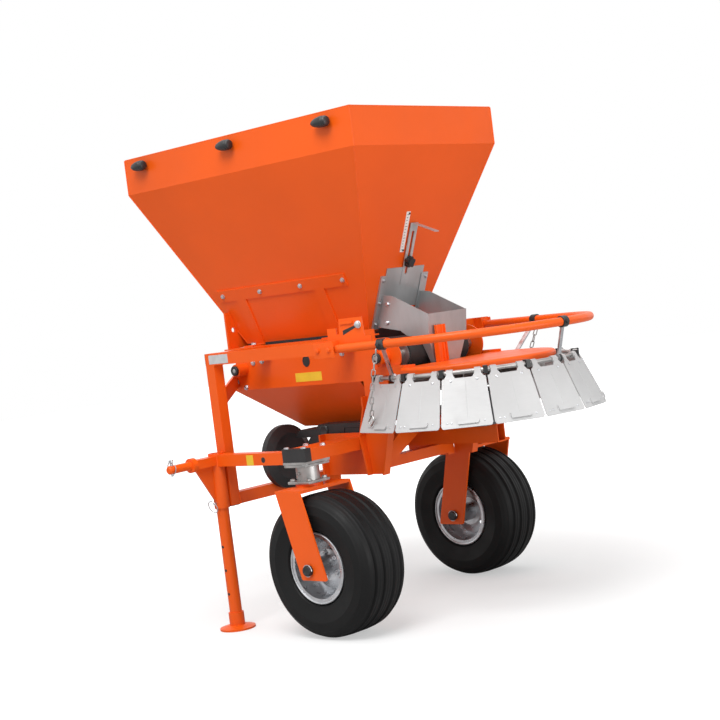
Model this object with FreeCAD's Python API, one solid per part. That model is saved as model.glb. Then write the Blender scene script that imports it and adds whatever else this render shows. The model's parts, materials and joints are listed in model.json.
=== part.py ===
import FreeCAD, Part

import math
import os

from FreeCAD import Matrix, Vector

# Towed belt-and-disc fertilizer spreader. Millimetres; +X points forward to the tractor, +Y to the
# left, +Z up. The floor is z = 0, the castor beam is at x = 0 and the hopper's centre plane is y = 0.

# ---- driving dimensions -------------------------------------------------------------------------

# hopper
RIM_REAR = -290.0
RIM_LENGTH = 1110.0
RIM_HALF_WIDTH = 356.0
RIM_TOP = 1641.0
BAND_HEIGHT = 124.0
HOPPER_BOTTOM = 936.0
REAR_SLOPE = 0.42
FRONT_SLOPE = 0.472
SIDE_SLOPE = 0.396
HOPPER_WALL = 4.0
OUTLET_HALF_WIDTH = 82.0
OUTLET_HEIGHT = 110.0

# hopper cradles: a bolted strip and two legs on each side wall
CRADLE_THICKNESS = 5.0
STRIP_HEIGHT = 43.0
STRIP_RISE = 173.0
STRIP_REAR, STRIP_FRONT = -38.0, 588.0
CRADLE_LEGS = ((72.0, 46.0), (457.0, 46.0))
FOOT_REACH = 62.0

# square tube of the frame
TUBE = 40.0
TUBE_WALL = 4.0

# castor beam
BEAM_DEPTH = 100.0
BEAM_HEIGHT = 40.0
BEAM_HALF_LENGTH = 499.0
BEAM_BOTTOM = 558.0
CAP_LENGTH = 24.0
CAP_WALL = 3.0

# rails and posts
RAIL_TOP = 927.0
RAIL_OUTER = 459.0
POST_X = 388.0
POST_BOTTOM = 412.0
LEFT_RAIL_REAR = -187.0
RIGHT_RAIL_REAR = -90.0
MID_RAIL_BOTTOM = 551.0
POST_REACH = 700.0
TIE_FRONT, TIE_REAR = 340.0, -56.0
STRUT_X = (394.0, 526.0)
STRUT_LOW, STRUT_HIGH = 737.0, 843.0
STRUT_DEPTH = 52.0
STRUT_PLATE = 10.0

# plates between the castor beam, the conveyor and the spinner
SADDLE_X = (-62.0, 140.0)
SADDLE_BOTTOM = 478.0
SADDLE_PLATE = 7.0
SADDLE_TIE = 36.0
SADDLE_FOOT, SADDLE_FOLD = 34.0, 24.0
UPRIGHT_X = (-185.0, -80.0)
UPRIGHT_FOOT_X = (-140.0, -50.0)
UPRIGHT_KNEE = 690.0
UPRIGHT_FLANGE_TOP = 730.0
UPRIGHT_DEPTH = 30.0
UPRIGHT_PLATE = 6.0
UPRIGHT_BOTTOM = 472.0
UPRIGHT_TOP = 945.0

# three-point hitch
HITCH_Y = 190.0
HITCH_SPAN = 825.0
PIN_RADIUS = 14.0
PIN_LENGTH = 92.0
PIN_CHAMFER = 4.0
COLLAR_RADIUS = 24.0
COLLAR_LENGTH = 18.0
LYNCH_HOLE = 6.0
LYNCH_INSET = 16.0
GUSSET_BOTTOM = 430.0

# plate under the hopper's front wall
FRONT_PLATE_X = 570.0
FRONT_PLATE_THICKNESS = 8.0
FRONT_PLATE_HALF = 197.0
FRONT_PLATE_TOP = 1057.0
FRONT_HOLE_Y = 166.0
FRONT_HOLE_Z = 993.0
FRONT_HOLE_RADIUS = 9.0

# parking jack
JACK_Y = 485.0
JACK_LEG_RADIUS = 21.0
JACK_SLEEVE_RADIUS = 26.0
JACK_SLEEVE_BOTTOM = 410.0
JACK_SLEEVE_TOP = 595.0
JACK_LEG_TOP = 470.0
JACK_FOOT_RADIUS = 60.0
JACK_SOCKET_RADIUS = 26.0
JACK_SOCKET_HEIGHT = 50.0

# conveyor
ROLLER_RADIUS = 45.0
BELT_THICKNESS = 6.0
BELT_HALF_WIDTH = 150.0
FRONT_ROLLER_X = 486.0
REAR_ROLLER_X = -186.0
ROLLER_Z = 851.0
SHAFT_RADIUS = 15.0
TROUGH_HALF_WIDTH = HITCH_Y + 25.0
TROUGH_PLATE = 5.0
TROUGH_FRONT = 546.0
TROUGH_FRONT_TOP = 518.0
TROUGH_FOLD = 778.0
LIP_GAP = 24.0
CHEEK_RADIUS = 62.0
BELLY_BOTTOM = 628.0
BELLY_HALF_WIDTH = 105.0
BELLY_FRONT = 332.0
BELLY_REAR = -60.0
BELLY_WALL = 4.0
BEARING_RADIUS = 22.0
BEARING_LENGTH = 42.0
SKIRT_THICKNESS = 6.0

# gate on the hopper's rear wall, measured up the wall from its lower edge
GATE_HALF_WIDTH = 94.0
GATE_THICKNESS = 3.0
GATE_LOW, GATE_HIGH = 74.0, 215.0
STRAP_LOW, STRAP_HIGH = 156.0, 368.0
STRAP_HALF_WIDTH = 18.0
SLOT_LOW, SLOT_HIGH = 197.0, 335.0
SLOT_HALF_WIDTH = 6.0
HANDLE_REACH = 100.0
KNOB_RISE = 236.0
KNOB_RADIUS = 20.0
GUIDE_LOW, GUIDE_HIGH = 6.0, 190.0

# discharge chute
CHUTE_HALF_WIDTH = 98.0
CHUTE_PLATE = 3.0
CHUTE_TOP = 971.0
CHUTE_WAIST = 894.0
CHUTE_BOTTOM = 803.0
CHUTE_REAR = -283.0
CHUTE_LEAN = 25.0
CHUTE_OUTLET_HALF = 60.0

# spinner
SPINNER_X = -370.0
DISC_RADIUS = 250.0
DISC_Z = 735.0
DISC_THICKNESS = 6.0
VANE_HEIGHT = 44.0
VANE_COUNT = 6
VANE_START, VANE_FOLD = 45.0, 18.0
VANE_PLATE = 4.0
SPINNER_SHAFT = 17.5
COVER_RADIUS = 265.0
COVER_FRONT = -264.0
COVER_TOP = 812.0
COVER_ROLL = 10.0
COVER_SHEET = 3.0
PROP_Y = (30.0, 76.0)
PROP_HEIGHT = 90.0
COVER_LIP = 25.0
GEARBOX_SIZE = 150.0
GEARBOX_CORNER = 14.0
GEARBOX_BOTTOM = 596.0
GEARBOX_TOP = 700.0
ARM_HALF = 20.0
ARM_HEIGHT = 60.0

# guard bow and deflector flaps
BOW_RADIUS = 384.0
BOW_PIPE = 13.5
BOW_Z = 901.0
ROD_RING = 331.0
ROD_RADIUS = 7.0
ROD_Z = 789.0
FLAP_COUNT = 10
FLAP_ANGLE = 23.0
FLAP_FLARE = 22.7
FLAP_LENGTH = 179.0
FLAP_SHEET = 2.5
FLAP_SEAM = 5.6
FLAP_NECK = 22.0
KNUCKLE_RADIUS = 10.5
KNUCKLE_LENGTH = 20.0
KNUCKLE_MARGIN = 13.0
KNUCKLE_FLARE = 8.0
ROD_END = 30.0
FLAP_CORNER = 6.0
HANGERS = ((86.0, 76.5), (176.0, 180.0), (274.0, 283.5))
HANGER_RING = 22.0
CLAMP_SIZE = 24.0
CLAMP_WIDTH = 14.0

# castors
CASTOR_Y = 447.0
CASTOR_TRAIL = 72.0
TYRE_RADIUS = 228.5
TYRE_HALF_WIDTH = 100.0
RIM_RADIUS = 115.5
RIM_HALF_WIDTH_Y = 84.0
AXLE_RADIUS = 12.5
AXLE_END = 14.0
COLLAR, COLLAR_OUTER = 12.0, 20.0
FORK_TOP = 477.0
FORK_PLATE = 10.0
FORK_LEG = 6.0
FORK_INNER = 112.0
FORK_WIDTH = 108.0
FORK_LEAD = 40.0
FORK_BOTTOM = 196.0
FORK_RAKE = 74.0
FORK_FLANGE = 44.0
SWIVEL_RADIUS = 20.0
HUB_RADIUS = 38.0
FLANGE = 113.0

# drive
PTO_Z = 536.5
PTO_RADIUS = 17.5
PTO_TIP = 468.0
BRACKET_THICKNESS = 8.0
BRACKET_HALF = 32.0
BRACKET_TOP = 574.0
SHAFT_SHOULDER = 20.0
GUARD_RADIUS = 110.0
GUARD_DEPTH = 36.0
GUARD_HUB = 30.0
DRIVE_RADIUS = 16.0
CASE_REAR, CASE_FRONT = -140.0, -100.0
CASE_RADIUS = 24.0
CASE_HUB_RADIUS = 36.0
COVER_BOX_X = (-60.0, 300.0)
COVER_BOX_Y = (112.0, 190.0)
COVER_BOX_HEIGHT = 27.0

# clearances
RUNNING_GAP = 0.05
SLIDING_GAP = 0.4

# ---- derived places -----------------------------------------------------------------------------

RIM_FRONT = RIM_REAR + RIM_LENGTH
BAND_BOTTOM = RIM_TOP - BAND_HEIGHT
HOPPER_DROP = BAND_BOTTOM - HOPPER_BOTTOM
HOPPER_REAR = RIM_REAR + REAR_SLOPE * HOPPER_DROP
HOPPER_FRONT = RIM_FRONT - FRONT_SLOPE * HOPPER_DROP
HOPPER_HALF = RIM_HALF_WIDTH - SIDE_SLOPE * HOPPER_DROP
BEAM_TOP = BEAM_BOTTOM + BEAM_HEIGHT
RAIL_BOTTOM = RAIL_TOP - TUBE
RAIL_INNER = RAIL_OUTER - TUBE
POST_FRONT = POST_X + TUBE / 2
POST_REAR = POST_X - TUBE / 2
GUARD_X = POST_REAR - GUARD_DEPTH - 2
BELT_RADIUS = ROLLER_RADIUS + BELT_THICKNESS
BELT_TOP = ROLLER_Z + BELT_RADIUS
PIN_SHOULDER = HITCH_Y + HITCH_SPAN / 2
AXLE_Z = TYRE_RADIUS
X, Y, Z = Vector(1, 0, 0), Vector(0, 1, 0), Vector(0, 0, 1)


# ---- shape helpers ------------------------------------------------------------------------------


def block(x, y, z):
    """A box between two values on each axis."""
    corner = Vector(min(x), min(y), min(z))
    return Part.makeBox(max(x) - min(x), max(y) - min(y), max(z) - min(z), corner)


def rod(start, axis, radius, length):
    """A round bar."""
    return Part.makeCylinder(radius, length, Vector(*start), axis)


def pipe(start, axis, outer, inner, length):
    """A round tube."""
    return rod(start, axis, outer, length).cut(rod(start, axis, inner, length))


def square_tube(x, y, z, along, wall=TUBE_WALL):
    """A rectangular tube, open at the two ends of the axis named by along (0, 1 or 2)."""
    spans = [sorted(x), sorted(y), sorted(z)]
    inner = []
    for axis, (low, high) in enumerate(spans):
        inner.append((low - 1, high + 1) if axis == along else (low + wall, high - wall))
    return block(x, y, z).cut(block(*inner))


def plate(points, thickness):
    """A flat plate: a closed outline of 3D points, pushed along the vector thickness."""
    corners = [Vector(*p) for p in points]
    return Part.Face(Part.makePolygon(corners + corners[:1])).extrude(thickness)


def rectangle(x, y, z):
    """A level rectangular wire."""
    corners = [Vector(x[0], y[0], z), Vector(x[1], y[0], z), Vector(x[1], y[1], z), Vector(x[0], y[1], z)]
    return Part.makePolygon(corners + corners[:1])


def mirrored(shape, y=0.0):
    """The shape seen in the upright plane at y."""
    return shape.mirror(Vector(0, y, 0), Y)


def joined(shapes):
    """One solid from pieces that are welded together."""
    return shapes[0].multiFuse(list(shapes[1:])).removeSplitter()


def placed(shape, origin, x_axis, y_axis):
    """The shape moved from its own axes to the given ones."""
    z_axis = x_axis.cross(y_axis)
    matrix = Matrix(
        x_axis.x, y_axis.x, z_axis.x, origin.x,
        x_axis.y, y_axis.y, z_axis.y, origin.y,
        x_axis.z, y_axis.z, z_axis.z, origin.z,
        0, 0, 0, 1,
    )
    return shape.transformGeometry(matrix)


# ---- hopper -------------------------------------------------------------------------------------


def hopper_body(inset_x, inset_y):
    """The hopper's outer form, drawn in by an inset on each axis."""
    band_x = (RIM_REAR + inset_x, RIM_FRONT - inset_x)
    band_y = (-RIM_HALF_WIDTH + inset_y, RIM_HALF_WIDTH - inset_y)
    mouth_x = (HOPPER_REAR + inset_x, HOPPER_FRONT - inset_x)
    mouth_y = (-HOPPER_HALF + inset_y, HOPPER_HALF - inset_y)
    band = block(band_x, band_y, (BAND_BOTTOM, RIM_TOP))
    sections = [rectangle(band_x, band_y, BAND_BOTTOM), rectangle(mouth_x, mouth_y, HOPPER_BOTTOM)]
    funnel = Part.makeLoft(sections, True, True)
    return joined([band, funnel])


def on_rear_wall(shape):
    """Carries a shape from (up the wall, across, outward) to the hopper's rear wall."""
    up = Vector(-REAR_SLOPE, 0, 1).normalize()
    return placed(shape, Vector(HOPPER_REAR, 0, HOPPER_BOTTOM), up, Y)


def hopper_panels():
    """The four folded sheets of the open hopper; the rear one has the outlet."""
    core = hopper_body(0, HOPPER_WALL)
    sides = hopper_body(0, 0).cut(core).Solids
    ends = core.cut(hopper_body(HOPPER_WALL, HOPPER_WALL)).Solids
    right, left = sorted(sides, key=lambda sheet: sheet.CenterOfMass.y)
    rear, front = sorted(ends, key=lambda sheet: sheet.CenterOfMass.x)
    reach = 4 * HOPPER_WALL
    outlet = block((-reach, OUTLET_HEIGHT), (-OUTLET_HALF_WIDTH, OUTLET_HALF_WIDTH), (-reach, reach))
    return {
        "hopper_left": left,
        "hopper_right": right,
        "hopper_front": front,
        "hopper_rear": rear.cut(on_rear_wall(outlet)),
    }


def cradle():
    """The left wall's bolted strip with two legs and their feet."""
    sunk = (-CRADLE_THICKNESS, 0)
    pieces = [block((STRIP_REAR, STRIP_FRONT), (STRIP_RISE, STRIP_RISE + STRIP_HEIGHT), sunk)]
    for start, width in CRADLE_LEGS:
        pieces.append(block((start, start + width), (0, STRIP_RISE), sunk))
    up = Vector(0, SIDE_SLOPE, 1).normalize()
    frame = placed(joined(pieces), Vector(0, HOPPER_HALF, HOPPER_BOTTOM), X, up)
    feet = []
    toe = (HOPPER_HALF, HOPPER_HALF + FOOT_REACH), (RAIL_TOP, RAIL_TOP + CRADLE_THICKNESS)
    heel = (HOPPER_HALF, HOPPER_HALF + CRADLE_THICKNESS), (RAIL_TOP, HOPPER_BOTTOM + CRADLE_THICKNESS)
    for start, width in CRADLE_LEGS:
        feet.append(block((start, start + width), *toe))
        feet.append(block((start, start + width), *heel))
    return joined([frame] + feet).cut(hopper_body(0, 0))


def hopper_skirt():
    """Rubber strips that close the gap between the hopper and the belt."""
    side = block(
        (HOPPER_REAR, FRONT_ROLLER_X),
        (HOPPER_HALF - SKIRT_THICKNESS, HOPPER_HALF),
        (BELT_TOP + SLIDING_GAP, HOPPER_BOTTOM),
    )
    front = block(
        (HOPPER_FRONT - SKIRT_THICKNESS, HOPPER_FRONT),
        (-HOPPER_HALF, HOPPER_HALF),
        (RAIL_TOP, HOPPER_BOTTOM),
    )
    return Part.makeCompound([side, mirrored(side), front])


# ---- frame --------------------------------------------------------------------------------------


def top_rail(rear, side):
    """A long tube beside the conveyor; side is 1 for left and -1 for right."""
    y, z = (side * RAIL_INNER, side * RAIL_OUTER), (RAIL_BOTTOM, RAIL_TOP)
    return joined([square_tube((rear, POST_FRONT), y, z, 0), block((rear, rear + TUBE_WALL), y, z)])


def post_left():
    """The headstock's tall upright, under the left top rail."""
    x, y = (POST_REAR, POST_FRONT), (RAIL_INNER, RAIL_OUTER)
    return square_tube(x, y, (POST_BOTTOM, RAIL_BOTTOM), 2)


def post_right():
    """The short upright, mirrored in the hitch's centre plane, up to the conveyor housing's slope."""
    x, y = (POST_REAR, POST_FRONT), (2 * HITCH_Y - RAIL_OUTER, 2 * HITCH_Y - RAIL_INNER)
    return square_tube(x, y, (POST_BOTTOM, POST_REACH), 2).cut(belly_body(0))


def lower_brace():
    """The tube between the feet of the two uprights."""
    x, y = (POST_REAR, POST_FRONT), (2 * HITCH_Y - RAIL_INNER, RAIL_INNER)
    return square_tube(x, y, (POST_BOTTOM, POST_BOTTOM + TUBE), 1)


def mid_rail_left():
    """The tube from the castor beam forward to the jack's sleeve."""
    x, y = (BEAM_DEPTH / 2, POST_REAR), (RAIL_OUTER, RAIL_OUTER + TUBE)
    tube = square_tube(x, y, (MID_RAIL_BOTTOM, MID_RAIL_BOTTOM + TUBE), 0)
    sleeve = rod((POST_X, JACK_Y, POST_BOTTOM), Z, JACK_SLEEVE_RADIUS, RAIL_BOTTOM - POST_BOTTOM)
    return tube.cut(sleeve)


def mid_rail_right():
    """The tube from the castor beam forward to the right hitch arm."""
    low = 2 * HITCH_Y - RAIL_OUTER - TUBE
    x, z = (BEAM_DEPTH / 2, POST_REAR), (MID_RAIL_BOTTOM, MID_RAIL_BOTTOM + TUBE)
    return square_tube(x, (low, low + TUBE), z, 0)


def trough_ties():
    """Four short tubes from the rails to the trough and a slanted plate to the left upright."""
    pieces = []
    inner, outer = TROUGH_HALF_WIDTH, RAIL_INNER
    for rear in (TIE_FRONT, TIE_REAR):
        tie = square_tube((rear, rear + TUBE), (inner, outer), (RAIL_BOTTOM, RAIL_TOP), 1)
        pieces += [tie, mirrored(tie)]
    outline = [
        (STRUT_X[0], outer, STRUT_LOW),
        (STRUT_X[0], outer, STRUT_LOW + STRUT_DEPTH),
        (STRUT_X[1], inner, STRUT_HIGH),
        (STRUT_X[1], inner, STRUT_HIGH - STRUT_DEPTH),
    ]
    strut = plate(outline, Vector(STRUT_PLATE, 0, 0))
    return Part.makeCompound(pieces + [strut])


def front_plate():
    """The upright plate across the front, welded to the hopper and bolted to the trough's deck."""
    x = (FRONT_PLATE_X, FRONT_PLATE_X + FRONT_PLATE_THICKNESS)
    wall = block(x, (-FRONT_PLATE_HALF, FRONT_PLATE_HALF), (RAIL_TOP, FRONT_PLATE_TOP))
    for y in (-FRONT_HOLE_Y, FRONT_HOLE_Y):
        wall = wall.cut(rod((x[0] - 1, y, FRONT_HOLE_Z), X, FRONT_HOLE_RADIUS, FRONT_PLATE_THICKNESS + 2))
    return wall.cut(hopper_body(0, 0))


def castor_beam():
    """The flat tube across the machine that carries both castors."""
    x, y = (-BEAM_DEPTH / 2, BEAM_DEPTH / 2), (-BEAM_HALF_LENGTH, BEAM_HALF_LENGTH)
    return square_tube(x, y, (BEAM_BOTTOM, BEAM_TOP), 1)


def beam_caps():
    """The plastic end caps, sleeved over the beam's two ends."""
    grip = BEAM_HALF_LENGTH - CAP_LENGTH
    half = BEAM_DEPTH / 2
    outer = block(
        (-half - CAP_WALL, half),
        (grip, BEAM_HALF_LENGTH + CAP_WALL),
        (BEAM_BOTTOM, BEAM_TOP + CAP_WALL),
    )
    cap = outer.cut(block((-half, half), (grip - 1, BEAM_HALF_LENGTH), (BEAM_BOTTOM, BEAM_TOP)))
    return Part.makeCompound([cap, mirrored(cap)])


def beam_saddles():
    """The two folded plates that hold the castor beam, tied by a tube below it."""
    rear, front = SADDLE_X
    low, high = SADDLE_BOTTOM, BEAM_TOP + 12
    outer = TROUGH_HALF_WIDTH
    web = block((rear, front), (outer - SADDLE_PLATE, outer), (low, high))
    foot = block((rear, front), (outer - SADDLE_FOOT, outer), (low - SADDLE_PLATE, low))
    fold = block((front - SADDLE_PLATE, front), (outer, outer + SADDLE_FOLD), (low - SADDLE_PLATE, high))
    hole = block((-BEAM_DEPTH / 2, BEAM_DEPTH / 2), (outer - 40, outer + 1), (BEAM_BOTTOM, BEAM_TOP))
    saddle = joined([web, foot, fold]).cut(hole)
    span = outer - SADDLE_PLATE
    tie = square_tube((rear, rear + TUBE), (-span, span), (low, low + SADDLE_TIE), 1)
    return joined([saddle, mirrored(saddle), tie])


def rear_uprights():
    """The folded channels that carry the conveyor's rear end and the spinner's guard."""

    def outline(fold):
        return [
            (UPRIGHT_X[1] - fold, UPRIGHT_TOP),
            (UPRIGHT_X[1] - fold, UPRIGHT_KNEE),
            (UPRIGHT_FOOT_X[1] - fold, BEAM_TOP),
            (UPRIGHT_FOOT_X[1] - 18 - fold, UPRIGHT_BOTTOM),
            (UPRIGHT_FOOT_X[0] + fold, UPRIGHT_BOTTOM),
            (UPRIGHT_X[0] + fold, BEAM_TOP + 22),
            (UPRIGHT_X[0] + fold, COVER_TOP - COVER_LIP),
            (UPRIGHT_X[0] + 35 + fold, COVER_TOP),
            (UPRIGHT_X[0] + 35 + fold, UPRIGHT_TOP),
        ]

    y = TROUGH_HALF_WIDTH
    channel = plate([(x, y, z) for x, z in outline(0)], Vector(0, UPRIGHT_DEPTH, 0))
    web = y + UPRIGHT_PLATE
    pocket = plate([(x, web, z) for x, z in outline(UPRIGHT_PLATE)], Vector(0, UPRIGHT_DEPTH, 0))
    reach = (UPRIGHT_X[0] - 1, UPRIGHT_FOOT_X[1] + 1)
    above = block(reach, (web, y + UPRIGHT_DEPTH + 1), (UPRIGHT_FLANGE_TOP, RIM_TOP))
    upright = channel.cut(pocket).cut(above)
    return Part.makeCompound([upright, mirrored(upright)])


# ---- hitch arms and jack ------------------------------------------------------------------------


def hitch_arm(with_jack):
    """The left arm: cross tube, gusset, collar and lower-link pin, with the jack's sleeve if asked."""
    low, high = MID_RAIL_BOTTOM, MID_RAIL_BOTTOM + TUBE
    collar = PIN_SHOULDER - COLLAR_LENGTH
    pin_z = (low + high) / 2
    root = JACK_Y + JACK_LEG_RADIUS + 2
    arm = block((POST_REAR, POST_FRONT), (RAIL_OUTER, collar), (low + 5, high - 5))
    corners = ((root, low + 5), (collar, low + 5), (root, GUSSET_BOTTOM))
    gusset = plate([(POST_X - 4, y, z) for y, z in corners], Vector(8, 0, 0))
    ring = rod((POST_X, collar, pin_z), Y, COLLAR_RADIUS, COLLAR_LENGTH)
    pin = rod((POST_X, PIN_SHOULDER, pin_z), Y, PIN_RADIUS, PIN_LENGTH)
    tip = [e for e in pin.Edges if abs(e.CenterOfMass.y - PIN_SHOULDER - PIN_LENGTH) < 0.01]
    pin = pin.makeChamfer(PIN_CHAMFER, tip)
    lynch = rod((POST_X, PIN_SHOULDER + PIN_LENGTH - LYNCH_INSET, pin_z - 20), Z, LYNCH_HOLE, 40)
    pieces = [arm, gusset, ring, pin.cut(lynch)]
    if with_jack:
        height = JACK_SLEEVE_TOP - JACK_SLEEVE_BOTTOM
        sleeve = rod((POST_X, JACK_Y, JACK_SLEEVE_BOTTOM), Z, JACK_SLEEVE_RADIUS, height)
        bore = rod((POST_X, JACK_Y, JACK_SLEEVE_BOTTOM - 1), Z, JACK_LEG_RADIUS + RUNNING_GAP, height + 2)
        return joined(pieces + [sleeve]).cut(bore)
    knee = block((POST_REAR, POST_FRONT), (RAIL_OUTER, root), (GUSSET_BOTTOM, high))
    return joined(pieces + [knee])


def jack_leg():
    """The jack's pipe, socket and round foot, standing on the floor."""
    pole = rod((POST_X, JACK_Y, 10), Z, JACK_LEG_RADIUS, JACK_LEG_TOP - 10)
    socket = rod((POST_X, JACK_Y, 6), Z, JACK_SOCKET_RADIUS, JACK_SOCKET_HEIGHT)
    cone = Part.makeCone(JACK_FOOT_RADIUS - 2, JACK_SOCKET_RADIUS + 6, 8, Vector(POST_X, JACK_Y, 6))
    foot = rod((POST_X, JACK_Y, 0), Z, JACK_FOOT_RADIUS, 6)
    return joined([pole, socket, cone, foot])


# ---- conveyor -----------------------------------------------------------------------------------


def trough_side():
    """The left side plate with its folded top lip and the round cheek at the rear."""
    inner = TROUGH_HALF_WIDTH - TROUGH_PLATE
    step = REAR_ROLLER_X + CHEEK_RADIUS + 14
    outline = [
        (step, TROUGH_FOLD),
        (TROUGH_FRONT, TROUGH_FOLD),
        (TROUGH_FRONT_TOP, RAIL_TOP),
        (step, RAIL_TOP),
    ]
    web = plate([(x, inner, z) for x, z in outline], Vector(0, TROUGH_PLATE, 0))
    neck_z = (ROLLER_Z - CHEEK_RADIUS, ROLLER_Z + CHEEK_RADIUS)
    neck = block((REAR_ROLLER_X, step), (inner, TROUGH_HALF_WIDTH), neck_z)
    cheek = rod((REAR_ROLLER_X, inner, ROLLER_Z), Y, CHEEK_RADIUS, TROUGH_PLATE)
    lip_y = (HOPPER_HALF + LIP_GAP, TROUGH_HALF_WIDTH)
    lip = block((step, FRONT_PLATE_X + FRONT_PLATE_THICKNESS), lip_y, (RAIL_TOP - TROUGH_PLATE, RAIL_TOP))
    side = joined([web, neck, cheek, lip])
    for x in (FRONT_ROLLER_X, REAR_ROLLER_X):
        side = side.cut(rod((x, inner - 1, ROLLER_Z), Y, SHAFT_RADIUS, TROUGH_PLATE + 2))
    return side


def belly_body(inset):
    """The tapered form of the conveyor's lower housing."""
    wide, narrow = TROUGH_HALF_WIDTH - inset, BELLY_HALF_WIDTH - inset
    upper = rectangle((BELLY_REAR, TROUGH_FRONT - inset), (-wide, wide), TROUGH_FOLD)
    lower = rectangle((BELLY_REAR, BELLY_FRONT - inset), (-narrow, narrow), BELLY_BOTTOM)
    return Part.makeLoft([upper, lower], True, True)


def trough_belly():
    """The folded sheet below the belt, open at the top and at the rear."""
    half, thick = BELLY_HALF_WIDTH, BELLY_WALL
    floor = block((BELLY_REAR, BELLY_FRONT), (-half, half), (BELLY_BOTTOM, BELLY_BOTTOM + thick))
    feet = [block((-30, 30), (y - 20, y + 20), (BEAM_TOP, BELLY_BOTTOM)) for y in (-60, 60)]
    shell = belly_body(0).cut(belly_body(thick))
    return joined([shell, floor.common(belly_body(0))] + feet)


def belt():
    """The endless rubber belt around both rollers."""

    def loop(radius):
        ends = [
            rod((x, -BELT_HALF_WIDTH, ROLLER_Z), Y, radius, 2 * BELT_HALF_WIDTH)
            for x in (REAR_ROLLER_X, FRONT_ROLLER_X)
        ]
        run = block(
            (REAR_ROLLER_X, FRONT_ROLLER_X),
            (-BELT_HALF_WIDTH, BELT_HALF_WIDTH),
            (ROLLER_Z - radius, ROLLER_Z + radius),
        )
        return joined([run] + ends)

    return loop(BELT_RADIUS).cut(loop(ROLLER_RADIUS))


def rollers():
    """Both belt rollers with their shafts."""
    reach = TROUGH_HALF_WIDTH + BEARING_LENGTH + 6
    pieces = []
    for x in (REAR_ROLLER_X, FRONT_ROLLER_X):
        half = BELT_HALF_WIDTH + 5
        drum = rod((x, -half, ROLLER_Z), Y, ROLLER_RADIUS - RUNNING_GAP, 2 * half)
        shaft = rod((x, -reach, ROLLER_Z), Y, SHAFT_RADIUS, 2 * reach)
        pieces.append(joined([drum, shaft]))
    return Part.makeCompound(pieces)


def roller_bearings():
    """Four bearing housings on the outside of the trough."""
    pieces = []
    for x in (REAR_ROLLER_X, FRONT_ROLLER_X):
        centre = (x, TROUGH_HALF_WIDTH, ROLLER_Z)
        housing = pipe(centre, Y, BEARING_RADIUS, SHAFT_RADIUS, BEARING_LENGTH)
        pieces += [housing, mirrored(housing)]
    return Part.makeCompound(pieces)


# ---- gate and chute -----------------------------------------------------------------------------


def gate_slide():
    """The sliding gate plate with its slotted strap and bent handle."""
    low, high = 0.5, 0.5 + GATE_THICKNESS
    panel = block((GATE_LOW, GATE_HIGH), (-GATE_HALF_WIDTH, GATE_HALF_WIDTH), (low, high))
    strap_y = (-STRAP_HALF_WIDTH, STRAP_HALF_WIDTH)
    strap = block((STRAP_LOW, STRAP_HIGH), strap_y, (high, high + GATE_THICKNESS))
    handle = block((STRAP_HIGH - GATE_THICKNESS, STRAP_HIGH), (-10, 10), (high, high + HANDLE_REACH))
    slot = block((SLOT_LOW, SLOT_HIGH), (-SLOT_HALF_WIDTH, SLOT_HALF_WIDTH), (0, 20))
    ends = [rod((s, 0, 0), Z, SLOT_HALF_WIDTH, 20) for s in (SLOT_LOW, SLOT_HIGH)]
    return on_rear_wall(joined([panel, strap, handle]).cut(joined([slot] + ends)))


def gate_guides():
    """The two stepped bars in which the gate slides."""
    edge = GATE_HALF_WIDTH + 0.5
    face = 0.5 + GATE_THICKNESS + SLIDING_GAP
    bar = block((GUIDE_LOW, GUIDE_HIGH), (edge, edge + 24), (0, face))
    lip = block((GUIDE_LOW, GUIDE_HIGH), (edge - 10, edge + 24), (face, face + 3))
    guide = on_rear_wall(joined([bar, lip]))
    return Part.makeCompound([guide, mirrored(guide)])


def star_knob():
    """The clamping knob on its stud, through the strap's slot."""
    stud = rod((KNOB_RISE, 0, 0), Z, 5, 14)
    face = 0.5 + 2 * GATE_THICKNESS + SLIDING_GAP
    core = rod((KNOB_RISE, 0, face), Z, KNOB_RADIUS - 6, 18)
    lobes = []
    for turn in range(5):
        angle = math.radians(72 * turn)
        centre = (KNOB_RISE + 13 * math.cos(angle), 13 * math.sin(angle), face)
        lobes.append(rod(centre, Z, KNOB_RADIUS - 13, 16))
    return on_rear_wall(joined([stud, core] + lobes))


def chute_rear_x(z):
    """The rear plate leans forward as it goes down."""
    return CHUTE_REAR + CHUTE_LEAN * (CHUTE_TOP - z) / (CHUTE_TOP - CHUTE_BOTTOM)


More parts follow.
